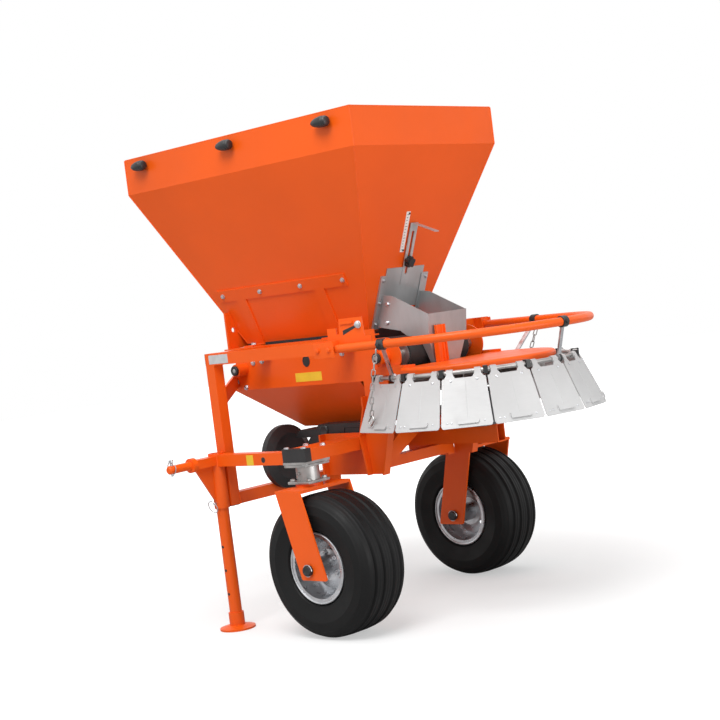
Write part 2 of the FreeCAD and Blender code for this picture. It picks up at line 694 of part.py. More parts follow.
def discharge_chute():
    """Two side plates bolted to the guides, and a tapered plate that turns the flow down."""
    face = 0.5 + GATE_THICKNESS + SLIDING_GAP + 3

    def on_guide(z):
        return HOPPER_REAR - REAR_SLOPE * (z - HOPPER_BOTTOM) - face * math.hypot(1, REAR_SLOPE)

    outline = [
        (on_guide(946), 946),
        (-103, 937),
        (-158, 926),
        (-185, 907),
        (chute_rear_x(CHUTE_WAIST), CHUTE_WAIST),
        (chute_rear_x(CHUTE_TOP), CHUTE_TOP),
        (-138, 1043),
        (on_guide(1048), 1048),
    ]
    inner = CHUTE_HALF_WIDTH - CHUTE_PLATE
    side = plate([(x, inner, z) for x, z in outline], Vector(0, CHUTE_PLATE, 0))
    bottom, waist, top = (chute_rear_x(z) for z in (CHUTE_BOTTOM, CHUTE_WAIST, CHUTE_TOP))
    rear = plate(
        [
            (top, -CHUTE_HALF_WIDTH, CHUTE_TOP),
            (waist, -CHUTE_HALF_WIDTH, CHUTE_WAIST),
            (bottom, -CHUTE_OUTLET_HALF, CHUTE_BOTTOM),
            (bottom, CHUTE_OUTLET_HALF, CHUTE_BOTTOM),
            (waist, CHUTE_HALF_WIDTH, CHUTE_WAIST),
            (top, CHUTE_HALF_WIDTH, CHUTE_TOP),
        ],
        Vector(-CHUTE_PLATE, 0, 0),
    )
    wing = plate(
        [
            (waist, CHUTE_HALF_WIDTH, CHUTE_WAIST),
            (waist + 34, CHUTE_HALF_WIDTH, CHUTE_WAIST),
            (bottom + 14, CHUTE_OUTLET_HALF, CHUTE_BOTTOM),
            (bottom, CHUTE_OUTLET_HALF, CHUTE_BOTTOM),
        ],
        Vector(0, -CHUTE_PLATE, 0),
    )
    return joined([side, mirrored(side), rear, wing, mirrored(wing)])


# ---- spinner ------------------------------------------------------------------------------------


def spinner_disc():
    """The spreading disc with its vanes, hub and shaft."""
    centre = (SPINNER_X, 0, DISC_Z)
    disc = rod(centre, Z, DISC_RADIUS, DISC_THICKNESS)
    hub = rod((SPINNER_X, 0, DISC_Z - 15), Z, 40, 15 + DISC_THICKNESS + 14)
    shaft = rod((SPINNER_X, 0, GEARBOX_TOP - 30), Z, SPINNER_SHAFT, DISC_Z - GEARBOX_TOP + 20)
    vanes = []
    x = (SPINNER_X + VANE_START, SPINNER_X + DISC_RADIUS - 4)
    top = DISC_Z + DISC_THICKNESS + VANE_HEIGHT
    for turn in range(VANE_COUNT):
        blade = block(x, (-VANE_PLATE / 2, VANE_PLATE / 2), (DISC_Z, top))
        vane = blade.fuse(block(x, (-VANE_PLATE / 2, VANE_FOLD), (top - VANE_PLATE, top)))
        vane.rotate(Vector(*centre), Z, 360.0 * turn / VANE_COUNT)
        vanes.append(vane)
    return joined([disc, hub, shaft] + vanes)


def spinner_cover():
    """The D-shaped cover with its rolled edge, two hanger bars and the chute's prop."""
    low = COVER_TOP - COVER_LIP
    lid = rod((SPINNER_X, 0, low), Z, COVER_RADIUS, COVER_LIP)
    edge = [e for e in lid.Edges if abs(e.CenterOfMass.z - COVER_TOP) < 0.01]
    lid = lid.makeFillet(COVER_ROLL, edge)
    lid = lid.cut(rod((SPINNER_X, 0, low - 1), Z, COVER_RADIUS - COVER_SHEET, COVER_LIP + 1 - COVER_SHEET))
    wide = (-COVER_RADIUS, COVER_RADIUS)
    lid = lid.cut(block((COVER_FRONT, SPINNER_X + COVER_RADIUS + 5), wide, (low - 2, COVER_TOP + 2)))
    bar_x = (COVER_FRONT - 46, UPRIGHT_X[0] + 60)
    bar_y = (TROUGH_HALF_WIDTH + UPRIGHT_PLATE, TROUGH_HALF_WIDTH + 2 * UPRIGHT_PLATE)
    bar = block(bar_x, bar_y, (COVER_TOP - 20, COVER_TOP + 9))
    return joined([lid, chute_prop(), bar, mirrored(bar)])


def chute_prop():
    """The upright U-section that steadies the chute's rear plate on the cover."""
    back = chute_rear_x(COVER_TOP + PROP_HEIGHT) - CHUTE_PLATE
    near, far = PROP_Y
    depth, web, flange = 14, 8, 6
    outline = [
        (back - depth, near),
        (back, near),
        (back, near + flange),
        (back - web, near + flange),
        (back - web, far - flange),
        (back, far - flange),
        (back, far),
        (back - depth, far),
    ]
    return plate([(x, y, COVER_TOP) for x, y in outline], Vector(0, 0, PROP_HEIGHT))


def gearbox():
    """The spinner's gearbox: a plain block with a round top boss and the shaft's bore."""
    half = GEARBOX_SIZE / 2
    body = block((SPINNER_X - half, SPINNER_X + half), (-half, half), (GEARBOX_BOTTOM, GEARBOX_TOP))
    upright = [e for e in body.Edges if abs(e.Vertexes[0].Z - e.Vertexes[-1].Z) > 1]
    body = body.makeFillet(GEARBOX_CORNER, upright)
    boss = rod((SPINNER_X, 0, GEARBOX_TOP), Z, 45, 12)
    bore = rod((SPINNER_X, 0, GEARBOX_TOP - 35), Z, SPINNER_SHAFT + RUNNING_GAP, 60)
    return joined([body, boss]).cut(bore)


def gearbox_arm():
    """The channel from the castor beam back under the gearbox."""
    x, z = (SPINNER_X - GEARBOX_SIZE / 2, -BEAM_DEPTH / 2), (GEARBOX_BOTTOM - ARM_HEIGHT, GEARBOX_BOTTOM)
    return square_tube(x, (-ARM_HALF, ARM_HALF), z, 0)


# ---- guard bow and flaps ------------------------------------------------------------------------


def around_spinner(radius, degrees, z):
    """A point on a level circle around the spinner's axis; 0 degrees points forward."""
    angle = math.radians(degrees)
    return Vector(SPINNER_X + radius * math.cos(angle), radius * math.sin(angle), z)


def bow_arm(start, side):
    """Where a straight arm from start touches the bow's circle, in degrees."""
    reach = start - Vector(SPINNER_X, 0, start.z)
    heading = math.degrees(math.atan2(abs(reach.y), reach.x))
    touch = heading + math.degrees(math.acos(BOW_RADIUS / math.hypot(reach.x, reach.y)))
    return touch if side > 0 else 360 - touch


def bow_ends():
    """The bow's two ends, on the rear ends of the top rails."""
    y = (RAIL_INNER + RAIL_OUTER) / 2
    return Vector(LEFT_RAIL_REAR, y, BOW_Z), Vector(RIGHT_RAIL_REAR, -y, BOW_Z)


def bow_point(degrees):
    """The bow's centre line at an angle around the spinner."""
    left, right = bow_ends()
    first, last = bow_arm(left, 1), bow_arm(right, -1)
    radius = BOW_RADIUS
    if degrees < first:
        radius = BOW_RADIUS / math.cos(math.radians(first - degrees))
    if degrees > last:
        radius = BOW_RADIUS / math.cos(math.radians(degrees - last))
    return around_spinner(radius, degrees, BOW_Z)


def guard_bow():
    """The bent pipe around the spinner."""
    left, right = bow_ends()
    first, last = bow_arm(left, 1), bow_arm(right, -1)
    start, end = bow_point(first), bow_point(last)
    arc = Part.Arc(start, bow_point(180), end).toShape()
    path = Part.Wire([Part.makeLine(left, start), arc, Part.makeLine(end, right)])
    section = Part.Wire(Part.makeCircle(BOW_PIPE, left, start - left))
    pipe_solid = path.makePipeShell([section], True, True)
    return pipe_solid.cut(top_rail(LEFT_RAIL_REAR, 1)).cut(top_rail(RIGHT_RAIL_REAR, -1))


def vertex_angle(index):
    """The rod bends at these angles; flap n lies between vertices n and n + 1."""
    return 180 + FLAP_ANGLE * (index - FLAP_COUNT / 2)


def rod_corners():
    """The rod's bends, with both end lengths drawn out past the last flaps' knuckles."""
    corners = [around_spinner(ROD_RING, vertex_angle(n), ROD_Z) for n in range(FLAP_COUNT + 1)]
    corners[0] = corners[0] + (corners[0] - corners[1]).normalize() * ROD_END
    corners[-1] = corners[-1] + (corners[-1] - corners[-2]).normalize() * ROD_END
    return corners


def rod_point(degrees):
    """The rod's centre line at an angle around the spinner."""
    half = FLAP_ANGLE / 2
    offset = (degrees - vertex_angle(0)) % FLAP_ANGLE - half
    radius = ROD_RING * math.cos(math.radians(half)) / math.cos(math.radians(offset))
    return around_spinner(radius, degrees, ROD_Z)


def flap_rod():
    """The bent rod on which the flaps hang, one straight length for each flap."""
    corners = rod_corners()
    path = Part.makePolygon(corners)
    section = Part.Wire(Part.makeCircle(ROD_RADIUS, corners[0], corners[1] - corners[0]))
    return path.makePipeShell([section], True, True, 1)


def flap_hangers():
    """Flat straps from the bow down to the rod, with a ring at each end."""
    pieces = []
    for bow_degrees, rod_degrees in HANGERS:
        top, low = bow_point(bow_degrees), rod_point(rod_degrees)
        along_bow = (bow_point(bow_degrees + 2) - bow_point(bow_degrees - 2)).normalize()
        along_rod = (rod_point(rod_degrees + 1) - rod_point(rod_degrees - 1)).normalize()
        line = (top - low).normalize()
        start = top - along_bow * HANGER_RING / 2
        ring = Part.makeCylinder(BOW_PIPE + 4, HANGER_RING, start, along_bow)
        start = low - along_rod * CLAMP_WIDTH / 2
        clamp = Part.makeCylinder(ROD_RADIUS + 6, CLAMP_WIDTH, start, along_rod)
        across = (along_rod - line * along_rod.dot(line)).normalize()
        strap = placed(block((0, (top - low).Length), (-7, 7), (-3, 3)), low, line, across)
        pieces.append(joined([ring, clamp, strap]).cut(guard_bow()).cut(flap_rod()))
    return Part.makeCompound(pieces)


def rod_clamps():
    """A split block around each bend of the rod that has no hanger."""
    pieces = []
    corners = rod_corners()
    held = [rod_degrees for _, rod_degrees in HANGERS]
    for index, corner in enumerate(corners):
        angle = vertex_angle(index)
        if angle in held:
            continue
        outward = around_spinner(1, angle, 0) - Vector(SPINNER_X, 0, 0)
        half = CLAMP_SIZE / 2
        body = block((-half, half), (-CLAMP_WIDTH / 2, CLAMP_WIDTH / 2), (-half, half))
        pieces.append(placed(body, corner, outward, Z.cross(outward)).cut(flap_rod()))
    return Part.makeCompound(pieces)


def flap_sheet(neck, low, extra):
    """The flared sheet below the knuckles; extra widens its side towards -Y."""
    face = KNUCKLE_RADIUS - FLAP_SHEET
    outline = [
        (FLAP_NECK, -neck - extra),
        (FLAP_LENGTH, -low - extra),
        (FLAP_LENGTH, low),
        (FLAP_NECK, neck),
    ]
    sheet = plate([(x, y, face) for x, y in outline], Vector(0, 0, FLAP_SHEET))
    upright = [e for e in sheet.Edges if abs(e.Length - FLAP_SHEET) < 0.01]
    return sheet.makeFillet(FLAP_CORNER, [e for e in upright if e.CenterOfMass.x > FLAP_NECK + 1])


def finger_tab():
    """The folded finger grip near the flap's lower edge."""
    middle = FLAP_LENGTH - 18
    bar = block((middle - 8, middle + 8), (-26, 30), (KNUCKLE_RADIUS, KNUCKLE_RADIUS + 5))
    return joined([bar, rod((middle, 30, KNUCKLE_RADIUS), Z, 8, 5)])


def flap(index):
    """One deflector flap: a flared sheet with two rolled knuckles and a finger tab."""
    half_angle = math.radians(FLAP_ANGLE / 2)
    flare = math.radians(FLAP_FLARE)
    apothem = ROD_RING * math.cos(half_angle)

    def half_width(drop):
        radius = apothem + drop * math.sin(flare)
        return radius * math.tan(half_angle) - FLAP_SEAM / 2 / math.cos(half_angle)

    extra = ROD_END if index in (0, FLAP_COUNT - 1) else 0.0
    face = KNUCKLE_RADIUS - FLAP_SHEET
    edge = ROD_RING * math.sin(half_angle) - KNUCKLE_MARGIN
    pieces = [flap_sheet(half_width(FLAP_NECK), half_width(FLAP_LENGTH), extra), finger_tab()]
    for start in (edge - KNUCKLE_LENGTH, -edge - extra):
        end = start + KNUCKLE_LENGTH
        outline = [
            (0, start),
            (FLAP_NECK / 2, start),
            (FLAP_NECK + 1, start - KNUCKLE_FLARE),
            (FLAP_NECK + 1, end + KNUCKLE_FLARE),
            (FLAP_NECK / 2, end),
            (0, end),
        ]
        pieces.append(plate([(x, y, face) for x, y in outline], Vector(0, 0, FLAP_SHEET)))
        pieces.append(Part.makeCylinder(KNUCKLE_RADIUS, KNUCKLE_LENGTH, Vector(0, start, 0), Y))
    solid = joined(pieces).cut(rod((0, -ROD_RING, 0), Y, ROD_RADIUS + RUNNING_GAP, 2 * ROD_RING))
    if index == FLAP_COUNT - 1:
        solid = mirrored(solid)
    middle = vertex_angle(index) + FLAP_ANGLE / 2
    outward = around_spinner(1, middle, 0) - Vector(SPINNER_X, 0, 0)
    down = (outward * math.sin(flare) - Z * math.cos(flare)).normalize()
    return placed(solid, around_spinner(apothem, middle, ROD_Z), down, Z.cross(outward))


# ---- castors ------------------------------------------------------------------------------------


def castor_hub():
    """The left bearing hub under the beam: a flange and a tube."""
    x, y = (-BEAM_DEPTH / 2, BEAM_DEPTH / 2), (CASTOR_Y - FLANGE / 2, CASTOR_Y + FLANGE / 2)
    flange = block(x, y, (BEAM_BOTTOM - 8, BEAM_BOTTOM))
    low = FORK_TOP + 9
    tube = rod((0, CASTOR_Y, low), Z, HUB_RADIUS, BEAM_BOTTOM - low)
    bore = rod((0, CASTOR_Y, low - 1), Z, SWIVEL_RADIUS + RUNNING_GAP, BEAM_BOTTOM - low - 4)
    return joined([flange, tube]).cut(bore)


def castor_fork():
    """The left fork: swivel shaft, flange, top plate, two raked legs and the axle."""
    shaft = rod((0, CASTOR_Y, FORK_TOP), Z, SWIVEL_RADIUS, BEAM_BOTTOM - FORK_TOP - 10)
    flange = rod((0, CASTOR_Y, FORK_TOP), Z, FORK_FLANGE, 8.4)
    outer = FORK_INNER + FORK_LEG
    front, rear = FORK_LEAD, FORK_LEAD - FORK_WIDTH
    top = block((rear, front), (CASTOR_Y - outer, CASTOR_Y + outer), (FORK_TOP - FORK_PLATE, FORK_TOP))
    outline = [
        (rear, FORK_TOP),
        (front, FORK_TOP),
        (front - FORK_RAKE, FORK_BOTTOM + 4),
        (front - FORK_RAKE - 4, FORK_BOTTOM),
        (rear - FORK_RAKE + 4, FORK_BOTTOM),
        (rear - FORK_RAKE, FORK_BOTTOM + 4),
    ]
    leg = plate([(x, CASTOR_Y + FORK_INNER, z) for x, z in outline], Vector(0, FORK_LEG, 0))
    reach = outer + AXLE_END
    axle = rod((-CASTOR_TRAIL, CASTOR_Y - reach, AXLE_Z), Y, AXLE_RADIUS, 2 * reach)
    ends = (-FORK_INNER, FORK_INNER - COLLAR)
    collars = [rod((-CASTOR_TRAIL, CASTOR_Y + y, AXLE_Z), Y, COLLAR_OUTER, COLLAR) for y in ends]
    return joined([shaft, flange, top, leg, mirrored(leg, CASTOR_Y), axle] + collars)


def revolved(points):
    """A solid of revolution around the castor axle, from (across, radius) points."""
    corners = [Vector(-CASTOR_TRAIL, CASTOR_Y + across, AXLE_Z + radius) for across, radius in points]
    face = Part.Face(Part.makePolygon(corners + corners[:1]))
    return face.revolve(Vector(-CASTOR_TRAIL, CASTOR_Y, AXLE_Z), Y, 360)


def castor_rim():
    """The pressed steel rim: barrel, flanges, dished web and hub."""
    w, r = RIM_HALF_WIDTH_Y, RIM_RADIUS
    outer = [(-w, r), (-w + 5, r), (-w + 5, r - 14), (-w + 24, r - 17), (-14, r - 30)]
    inner = [(16, r - 34), (w - 24, r - 21), (w, r - 17)]
    across = outer + [(-a, b) for a, b in reversed(outer)]
    barrel = revolved(across + [(a, b) for a, b in reversed(inner)] + [(-a, b) for a, b in inner])
    web = revolved([(8, r - 32), (14, r - 32), (30, 50), (30, 30), (24, 30), (24, 48)])
    bore = AXLE_RADIUS + RUNNING_GAP
    hub = revolved([(-95, 32), (95, 32), (95, bore), (-95, bore)])
    rim = joined([barrel, web, hub])
    for turn in range(4):
        hole = rod((-CASTOR_TRAIL, CASTOR_Y - 40, AXLE_Z + 62), Y, 8, 120)
        hole.rotate(Vector(-CASTOR_TRAIL, CASTOR_Y, AXLE_Z), Y, 45 + 90 * turn)
        rim = rim.cut(hole)
    return rim


def castor_tyre():
    """The wide ribbed tyre with rounded shoulders."""
    w, r = TYRE_HALF_WIDTH, TYRE_RADIUS
    bead = RIM_RADIUS - 14
    side = [(78.5, bead), (78.5, RIM_RADIUS + 1), (90, RIM_RADIUS + 8)]
    shoulder = [(w, (r + RIM_RADIUS) / 2), (w - 4, r - 30), (80, r - 10)]
    crown = [(64, r - 3), (58, r - 10), (52, r - 1.5), (28, r), (22, r - 8), (16, r)]
    left = side + shoulder + crown
    right = [(-a, b) for a, b in reversed(left)]
    return revolved(left + right)


# ---- drive --------------------------------------------------------------------------------------


def pto_bracket():
    """The plate on the lower brace that carries the input shaft."""
    x = (POST_REAR, POST_REAR + BRACKET_THICKNESS)
    y = (HITCH_Y - BRACKET_HALF, HITCH_Y + BRACKET_HALF)
    slab = block(x, y, (POST_BOTTOM + TUBE, BRACKET_TOP))
    short = [e for e in slab.Edges if abs(e.Length - BRACKET_THICKNESS) < 0.01]
    upper = [e for e in short if e.CenterOfMass.z > BRACKET_TOP - 1]
    bore = rod((x[0] - 1, HITCH_Y, PTO_Z), X, SHAFT_SHOULDER, BRACKET_THICKNESS + 2)
    return slab.makeFillet(BRACKET_HALF * 0.7, upper).cut(bore)


def pto_shaft():
    """The shouldered input stub that points at the tractor."""
    start, shoulder = GUARD_X, POST_REAR + BRACKET_THICKNESS + 4
    thick = rod((start, HITCH_Y, PTO_Z), X, SHAFT_SHOULDER, shoulder - start)
    return joined([thick, rod((shoulder, HITCH_Y, PTO_Z), X, PTO_RADIUS, PTO_TIP - shoulder)])


def pto_guard():
    """The dished round guard behind the bracket, with its hub."""
    r, depth, bore = GUARD_RADIUS, GUARD_DEPTH, SHAFT_SHOULDER
    outline = [
        (0, bore),
        (0, r - 30),
        (14, r),
        (depth, r),
        (depth, r - 4),
        (17, r - 4),
        (4, r - 33),
        (4, GUARD_HUB),
        (POST_REAR - GUARD_X, GUARD_HUB),
        (POST_REAR - GUARD_X, bore),
    ]
    points = [Vector(GUARD_X + a, HITCH_Y, PTO_Z + b) for a, b in outline]
    face = Part.Face(Part.makePolygon(points + points[:1]))
    return face.revolve(Vector(GUARD_X, HITCH_Y, PTO_Z), X, 360)


def drive_case():
    """The slanted chain case across the machine and its foot on the gearbox's arm."""
    depth = CASE_FRONT - CASE_REAR
    out_z = (GEARBOX_BOTTOM + GEARBOX_TOP) / 2
    ends = [
        rod((CASE_REAR, HITCH_Y, PTO_Z), X, CASE_RADIUS, depth),
        rod((CASE_REAR, 0, out_z), X, CASE_HUB_RADIUS, depth),
    ]
    run = Vector(0, -HITCH_Y, out_z - PTO_Z).normalize()
    side = X.cross(run)
    start, end = Vector(CASE_REAR, HITCH_Y, PTO_Z), Vector(CASE_REAR, 0, out_z)
    wide, narrow = side * CASE_HUB_RADIUS, side * CASE_RADIUS
    web = plate([start + narrow, end + wide, end - wide, start - narrow], Vector(depth, 0, 0))
    foot = block((CASE_REAR, CASE_FRONT), (-ARM_HALF, ARM_HALF), (GEARBOX_BOTTOM, out_z))
    return joined(ends + [web, foot]).cut(gearbox_arm())


def drive_shafts():
    """The shaft from the input to the chain case and the one on to the gearbox."""
    front = rod((CASE_FRONT, HITCH_Y, PTO_Z), X, DRIVE_RADIUS, GUARD_X - CASE_FRONT)
    face = SPINNER_X + GEARBOX_SIZE / 2
    rear = rod((face, 0, (GEARBOX_BOTTOM + GEARBOX_TOP) / 2), X, DRIVE_RADIUS, CASE_REAR - face)
    return Part.makeCompound([front, rear])


def drive_cover():
    """The box-shaped cover on the castor beam, with a slanted front."""
    rear, front = COVER_BOX_X
    near, far = COVER_BOX_Y
    top = BEAM_TOP + COVER_BOX_HEIGHT

    def side_view(inset):
        return [
            (rear + inset, near + inset, BEAM_TOP),
            (rear + inset, near + inset, top - inset),
            (front - COVER_BOX_HEIGHT, near + inset, top - inset),
            (front - inset, near + inset, BEAM_TOP),
        ]

    outer = plate(side_view(0), Vector(0, far - near, 0))
    inner = plate(side_view(3.0), Vector(0, far - near - 6, 0))
    return outer.cut(inner)


# ---- assembly -----------------------------------------------------------------------------------


def nodes():
    """Every named piece in the floor's frame."""
    shapes = {
        "hopper_cradles": Part.makeCompound([cradle(), mirrored(cradle())]),
        "hopper_skirt": hopper_skirt(),
        "top_rails": Part.makeCompound([top_rail(LEFT_RAIL_REAR, 1), top_rail(RIGHT_RAIL_REAR, -1)]),
        "post_left": post_left(),
        "post_right": post_right(),
        "lower_brace": lower_brace(),
        "mid_rails": Part.makeCompound([mid_rail_left(), mid_rail_right()]),
        "trough_ties": trough_ties(),
        "front_plate": front_plate(),
        "castor_beam": castor_beam(),
        "beam_caps": beam_caps(),
        "beam_saddles": beam_saddles(),
        "rear_uprights": rear_uprights(),
        "hitch_arm_left": hitch_arm(True),
        "hitch_arm_right": mirrored(hitch_arm(False), HITCH_Y),
        "jack_leg": jack_leg(),
        "trough_sides": Part.makeCompound([trough_side(), mirrored(trough_side())]),
        "trough_belly": trough_belly(),
        "conveyor_belt": belt(),
        "belt_rollers": rollers(),
        "roller_bearings": roller_bearings(),
        "gate_slide": gate_slide(),
        "gate_guides": gate_guides(),
        "star_knob": star_knob(),
        "discharge_chute": discharge_chute(),
        "spinner_disc": spinner_disc(),
        "spinner_cover": spinner_cover(),
        "gearbox": gearbox(),
        "gearbox_arm": gearbox_arm(),
        "guard_bow": guard_bow(),
        "flap_rod": flap_rod(),
        "flap_hangers": flap_hangers(),
        "rod_clamps": rod_clamps(),
        "castor_hubs": Part.makeCompound([castor_hub(), mirrored(castor_hub())]),
        "pto_bracket": pto_bracket(),
        "pto_shaft": pto_shaft(),
        "pto_guard": pto_guard(),
        "drive_case": drive_case(),
        "drive_shafts": drive_shafts(),
        "drive_cover": drive_cover(),
    }
    shapes.update(hopper_panels())
    for index in range(FLAP_COUNT):
        shapes[f"flap_{index + 1}"] = flap(index)
    for name, make in (("castor_fork", castor_fork), ("wheel_rim", castor_rim), ("tyre", castor_tyre)):
        shapes[f"{name}_left"] = make()
        right = mirrored(make())
        right.rotate(Vector(0, -CASTOR_Y, 0), Z, 180)
        shapes[f"{name}_right"] = right
    return shapes


def floor_centre():
    """The middle of the machine's outline on the floor."""
    flap_reach = ROD_RING + FLAP_LENGTH * math.sin(math.radians(FLAP_FLARE)) + KNUCKLE_RADIUS
    left = PIN_SHOULDER + PIN_LENGTH
    right = -(CASTOR_Y + FORK_INNER + FORK_LEG + AXLE_END)
    return Vector((RIM_FRONT + SPINNER_X - flap_reach) / 2, (left + right) / 2, 0)


def main():
    os.makedirs("parts", exist_ok=True)
    centre = floor_centre()
    for name, shape in nodes().items():
        shape.translated(-centre).exportStep(f"parts/{name}.step")


main()
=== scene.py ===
import json
import math

import bmesh
import bpy
from mathutils import Matrix, Vector

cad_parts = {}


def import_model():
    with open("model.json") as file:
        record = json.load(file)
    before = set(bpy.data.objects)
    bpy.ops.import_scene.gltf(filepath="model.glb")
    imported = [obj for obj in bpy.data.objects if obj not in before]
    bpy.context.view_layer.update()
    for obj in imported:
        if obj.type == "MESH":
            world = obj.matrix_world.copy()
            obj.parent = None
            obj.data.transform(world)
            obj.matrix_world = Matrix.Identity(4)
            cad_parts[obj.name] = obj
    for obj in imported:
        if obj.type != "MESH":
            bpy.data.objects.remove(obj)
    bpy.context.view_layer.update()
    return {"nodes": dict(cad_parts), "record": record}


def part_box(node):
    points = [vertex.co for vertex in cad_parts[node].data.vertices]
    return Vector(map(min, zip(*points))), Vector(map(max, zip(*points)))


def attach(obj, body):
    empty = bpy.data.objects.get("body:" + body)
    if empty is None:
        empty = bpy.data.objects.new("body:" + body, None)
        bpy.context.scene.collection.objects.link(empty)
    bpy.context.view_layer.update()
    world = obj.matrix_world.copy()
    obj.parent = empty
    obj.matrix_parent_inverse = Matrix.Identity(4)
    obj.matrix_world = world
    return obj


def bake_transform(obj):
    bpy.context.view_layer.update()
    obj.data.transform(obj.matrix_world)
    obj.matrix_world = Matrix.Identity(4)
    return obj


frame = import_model()
NODES = frame["nodes"]
MM = 0.001

# ---- places taken from the frame ----------------------------------------------------------------


def middle(node):
    low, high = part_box(node)
    return (Vector(low) + Vector(high)) / 2


BEAM = middle("castor_beam")
SPINNER = middle("spinner_disc")
PANELS = [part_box(f"hopper_{name}") for name in ("left", "right", "front", "rear")]
HOPPER_LOW = Vector(min(low[axis] for low, _ in PANELS) for axis in range(3))
HOPPER_HIGH = Vector(max(high[axis] for _, high in PANELS) for axis in range(3))
HOPPER_HALF = (HOPPER_HIGH.y - HOPPER_LOW.y) / 2
JOINTS = {joint["name"]: joint for joint in frame["record"]["behaviour"]["joints"]}


def at(x, y, z):
    """A place given in millimetres forward of the castor beam, left of the hopper's middle and up."""
    return Vector((BEAM.x + x * MM, BEAM.y + y * MM, z * MM))


# ---- measures, in millimetres -------------------------------------------------------------------

MOUTH_Z = 1640
BAND_FOOT = 1517
PANEL_FOOT = 938
MOUTH_HALF = 356
MOUTH_REAR, MOUTH_FRONT = -290, 820
SIDE_LEAN, REAR_LEAN, FRONT_LEAN = 0.396, 0.42, 0.472
CASTOR_Y = 447
POST_X = 388
RAIL_Y = 439
RAIL_Z = 901
MID_RAIL_Z = 569
LINK_Z = 571
LYNCH_REACH = 488.5
HITCH_Y = 190
INPUT_Z = 536.5
JACK_Y = 485
TROUGH_Y = 215
ROLLER_X = (-186, 486)
ROLLER_Z = 851
GATE_FOOT = 936
GEARBOX_X = -370
BOW_RADIUS = 384
BOW_ENDS = ((103.53, -187, RAIL_Y), (260.04, -90, -RAIL_Y))
CLAMP_ANGLES = (86, 176, 274)
ROD_RING = 331
ROD_Z = 789
FLAP_COUNT = 10
FLAP_HALF = math.radians(11.5)
FLAP_FLARE = math.radians(22.7)
UP = Vector((0, 0, 1))

# ---- materials ----------------------------------------------------------------------------------


class Finish:
    """A Principled material with helpers that add noise to its colour, roughness and bump."""

    def __init__(self, name, colour, roughness, metallic=0.0, coat=0.0):
        self.material = bpy.data.materials.new(name)
        self.material.use_nodes = True
        self.tree = self.material.node_tree
        self.shader = self.tree.nodes["Principled BSDF"]
        self.shader.inputs["Base Color"].default_value = (*colour, 1)
        self.shader.inputs["Roughness"].default_value = roughness
        self.shader.inputs["Metallic"].default_value = metallic
        self.shader.inputs["Coat Weight"].default_value = coat
        self.shader.inputs["Coat Roughness"].default_value = 0.12
        self.colour = colour
        self.normal = None

    def node(self, kind, **values):
        made = self.tree.nodes.new(kind)
        for name, value in values.items():
            made.inputs[name.replace("_", " ")].default_value = value
        return made

    def link(self, source, target):
        self.tree.links.new(source, target)

    def noise(self, scale, detail=4.0, stretch=(1, 1, 1)):
        """Noise in object coordinates, drawn out along an axis by stretch."""
        coords = self.tree.nodes.new("ShaderNodeTexCoord")
        mapping = self.tree.nodes.new("ShaderNodeMapping")
        mapping.inputs["Scale"].default_value = stretch
        texture = self.node("ShaderNodeTexNoise", Scale=scale, Detail=detail)
        self.link(coords.outputs["Object"], mapping.inputs["Vector"])
        self.link(mapping.outputs["Vector"], texture.inputs["Vector"])
        return texture.outputs["Fac"]

    def vary_colour(self, scale, amount, stretch=(1, 1, 1)):
        """Lets the base colour drift lighter and darker by a share of itself."""
        ramp = self.tree.nodes.new("ShaderNodeValToRGB")
        shades = ((0.35, 1 - amount), (0.65, 1 + amount))
        for stop, (position, share) in zip(ramp.color_ramp.elements, shades):
            stop.position = position
            stop.color = (*(min(1.0, c * share) for c in self.colour), 1)
        self.link(self.noise(scale, 5.0, stretch), ramp.inputs["Fac"])
        self.link(ramp.outputs["Color"], self.shader.inputs["Base Color"])

    def vary_roughness(self, scale, low, high, stretch=(1, 1, 1)):
        value = self.node("ShaderNodeMapRange", From_Min=0.3, From_Max=0.7, To_Min=low, To_Max=high)
        self.link(self.noise(scale, 6.0, stretch), value.inputs["Value"])
        self.link(value.outputs["Result"], self.shader.inputs["Roughness"])

    def raise_by(self, height, strength, distance):
        """Adds one more layer of bump from a height value."""
        bump = self.node("ShaderNodeBump", Strength=strength, Distance=distance)
        self.link(height, bump.inputs["Height"])
        if self.normal is not None:
            self.link(self.normal, bump.inputs["Normal"])
        self.normal = bump.outputs["Normal"]
        self.link(self.normal, self.shader.inputs["Normal"])

    def bump(self, scale, strength, distance, stretch=(1, 1, 1), detail=4.0):
        self.raise_by(self.noise(scale, detail, stretch), strength, distance)

    def ribs(self, scale, strength, distance):
        """Adds fine ribs that run round the axle, which lies along Y."""
        coords = self.tree.nodes.new("ShaderNodeTexCoord")
        bands = self.node("ShaderNodeTexWave", Scale=scale)
        bands.bands_direction = "Y"
        self.link(coords.outputs["Object"], bands.inputs["Vector"])
        self.raise_by(bands.outputs["Fac"], strength, distance)


def orange_paint():
    """Powder coat: a fine orange-peel skin under a slight gloss."""
    finish = Finish("orange_paint", (0.82, 0.104, 0.0055), 0.42, coat=0.02)
    finish.shader.inputs["Specular IOR Level"].default_value = 0.28
    finish.vary_colour(2.2, 0.05)
    finish.vary_roughness(9.0, 0.30, 0.44)
    finish.bump(420.0, 0.10, 0.0006)
    finish.bump(6.0, 0.05, 0.004, detail=2.0)
    return finish.material


def stainless():
    """Rolled stainless sheet with a faint grain."""
    grain = (1, 1, 24)
    finish = Finish("stainless", (0.66, 0.66, 0.665), 0.46, metallic=0.7)
    finish.vary_colour(3.0, 0.05)
    finish.vary_roughness(34.0, 0.42, 0.56, grain)
    finish.bump(260.0, 0.04, 0.0003, grain)
    return finish.material


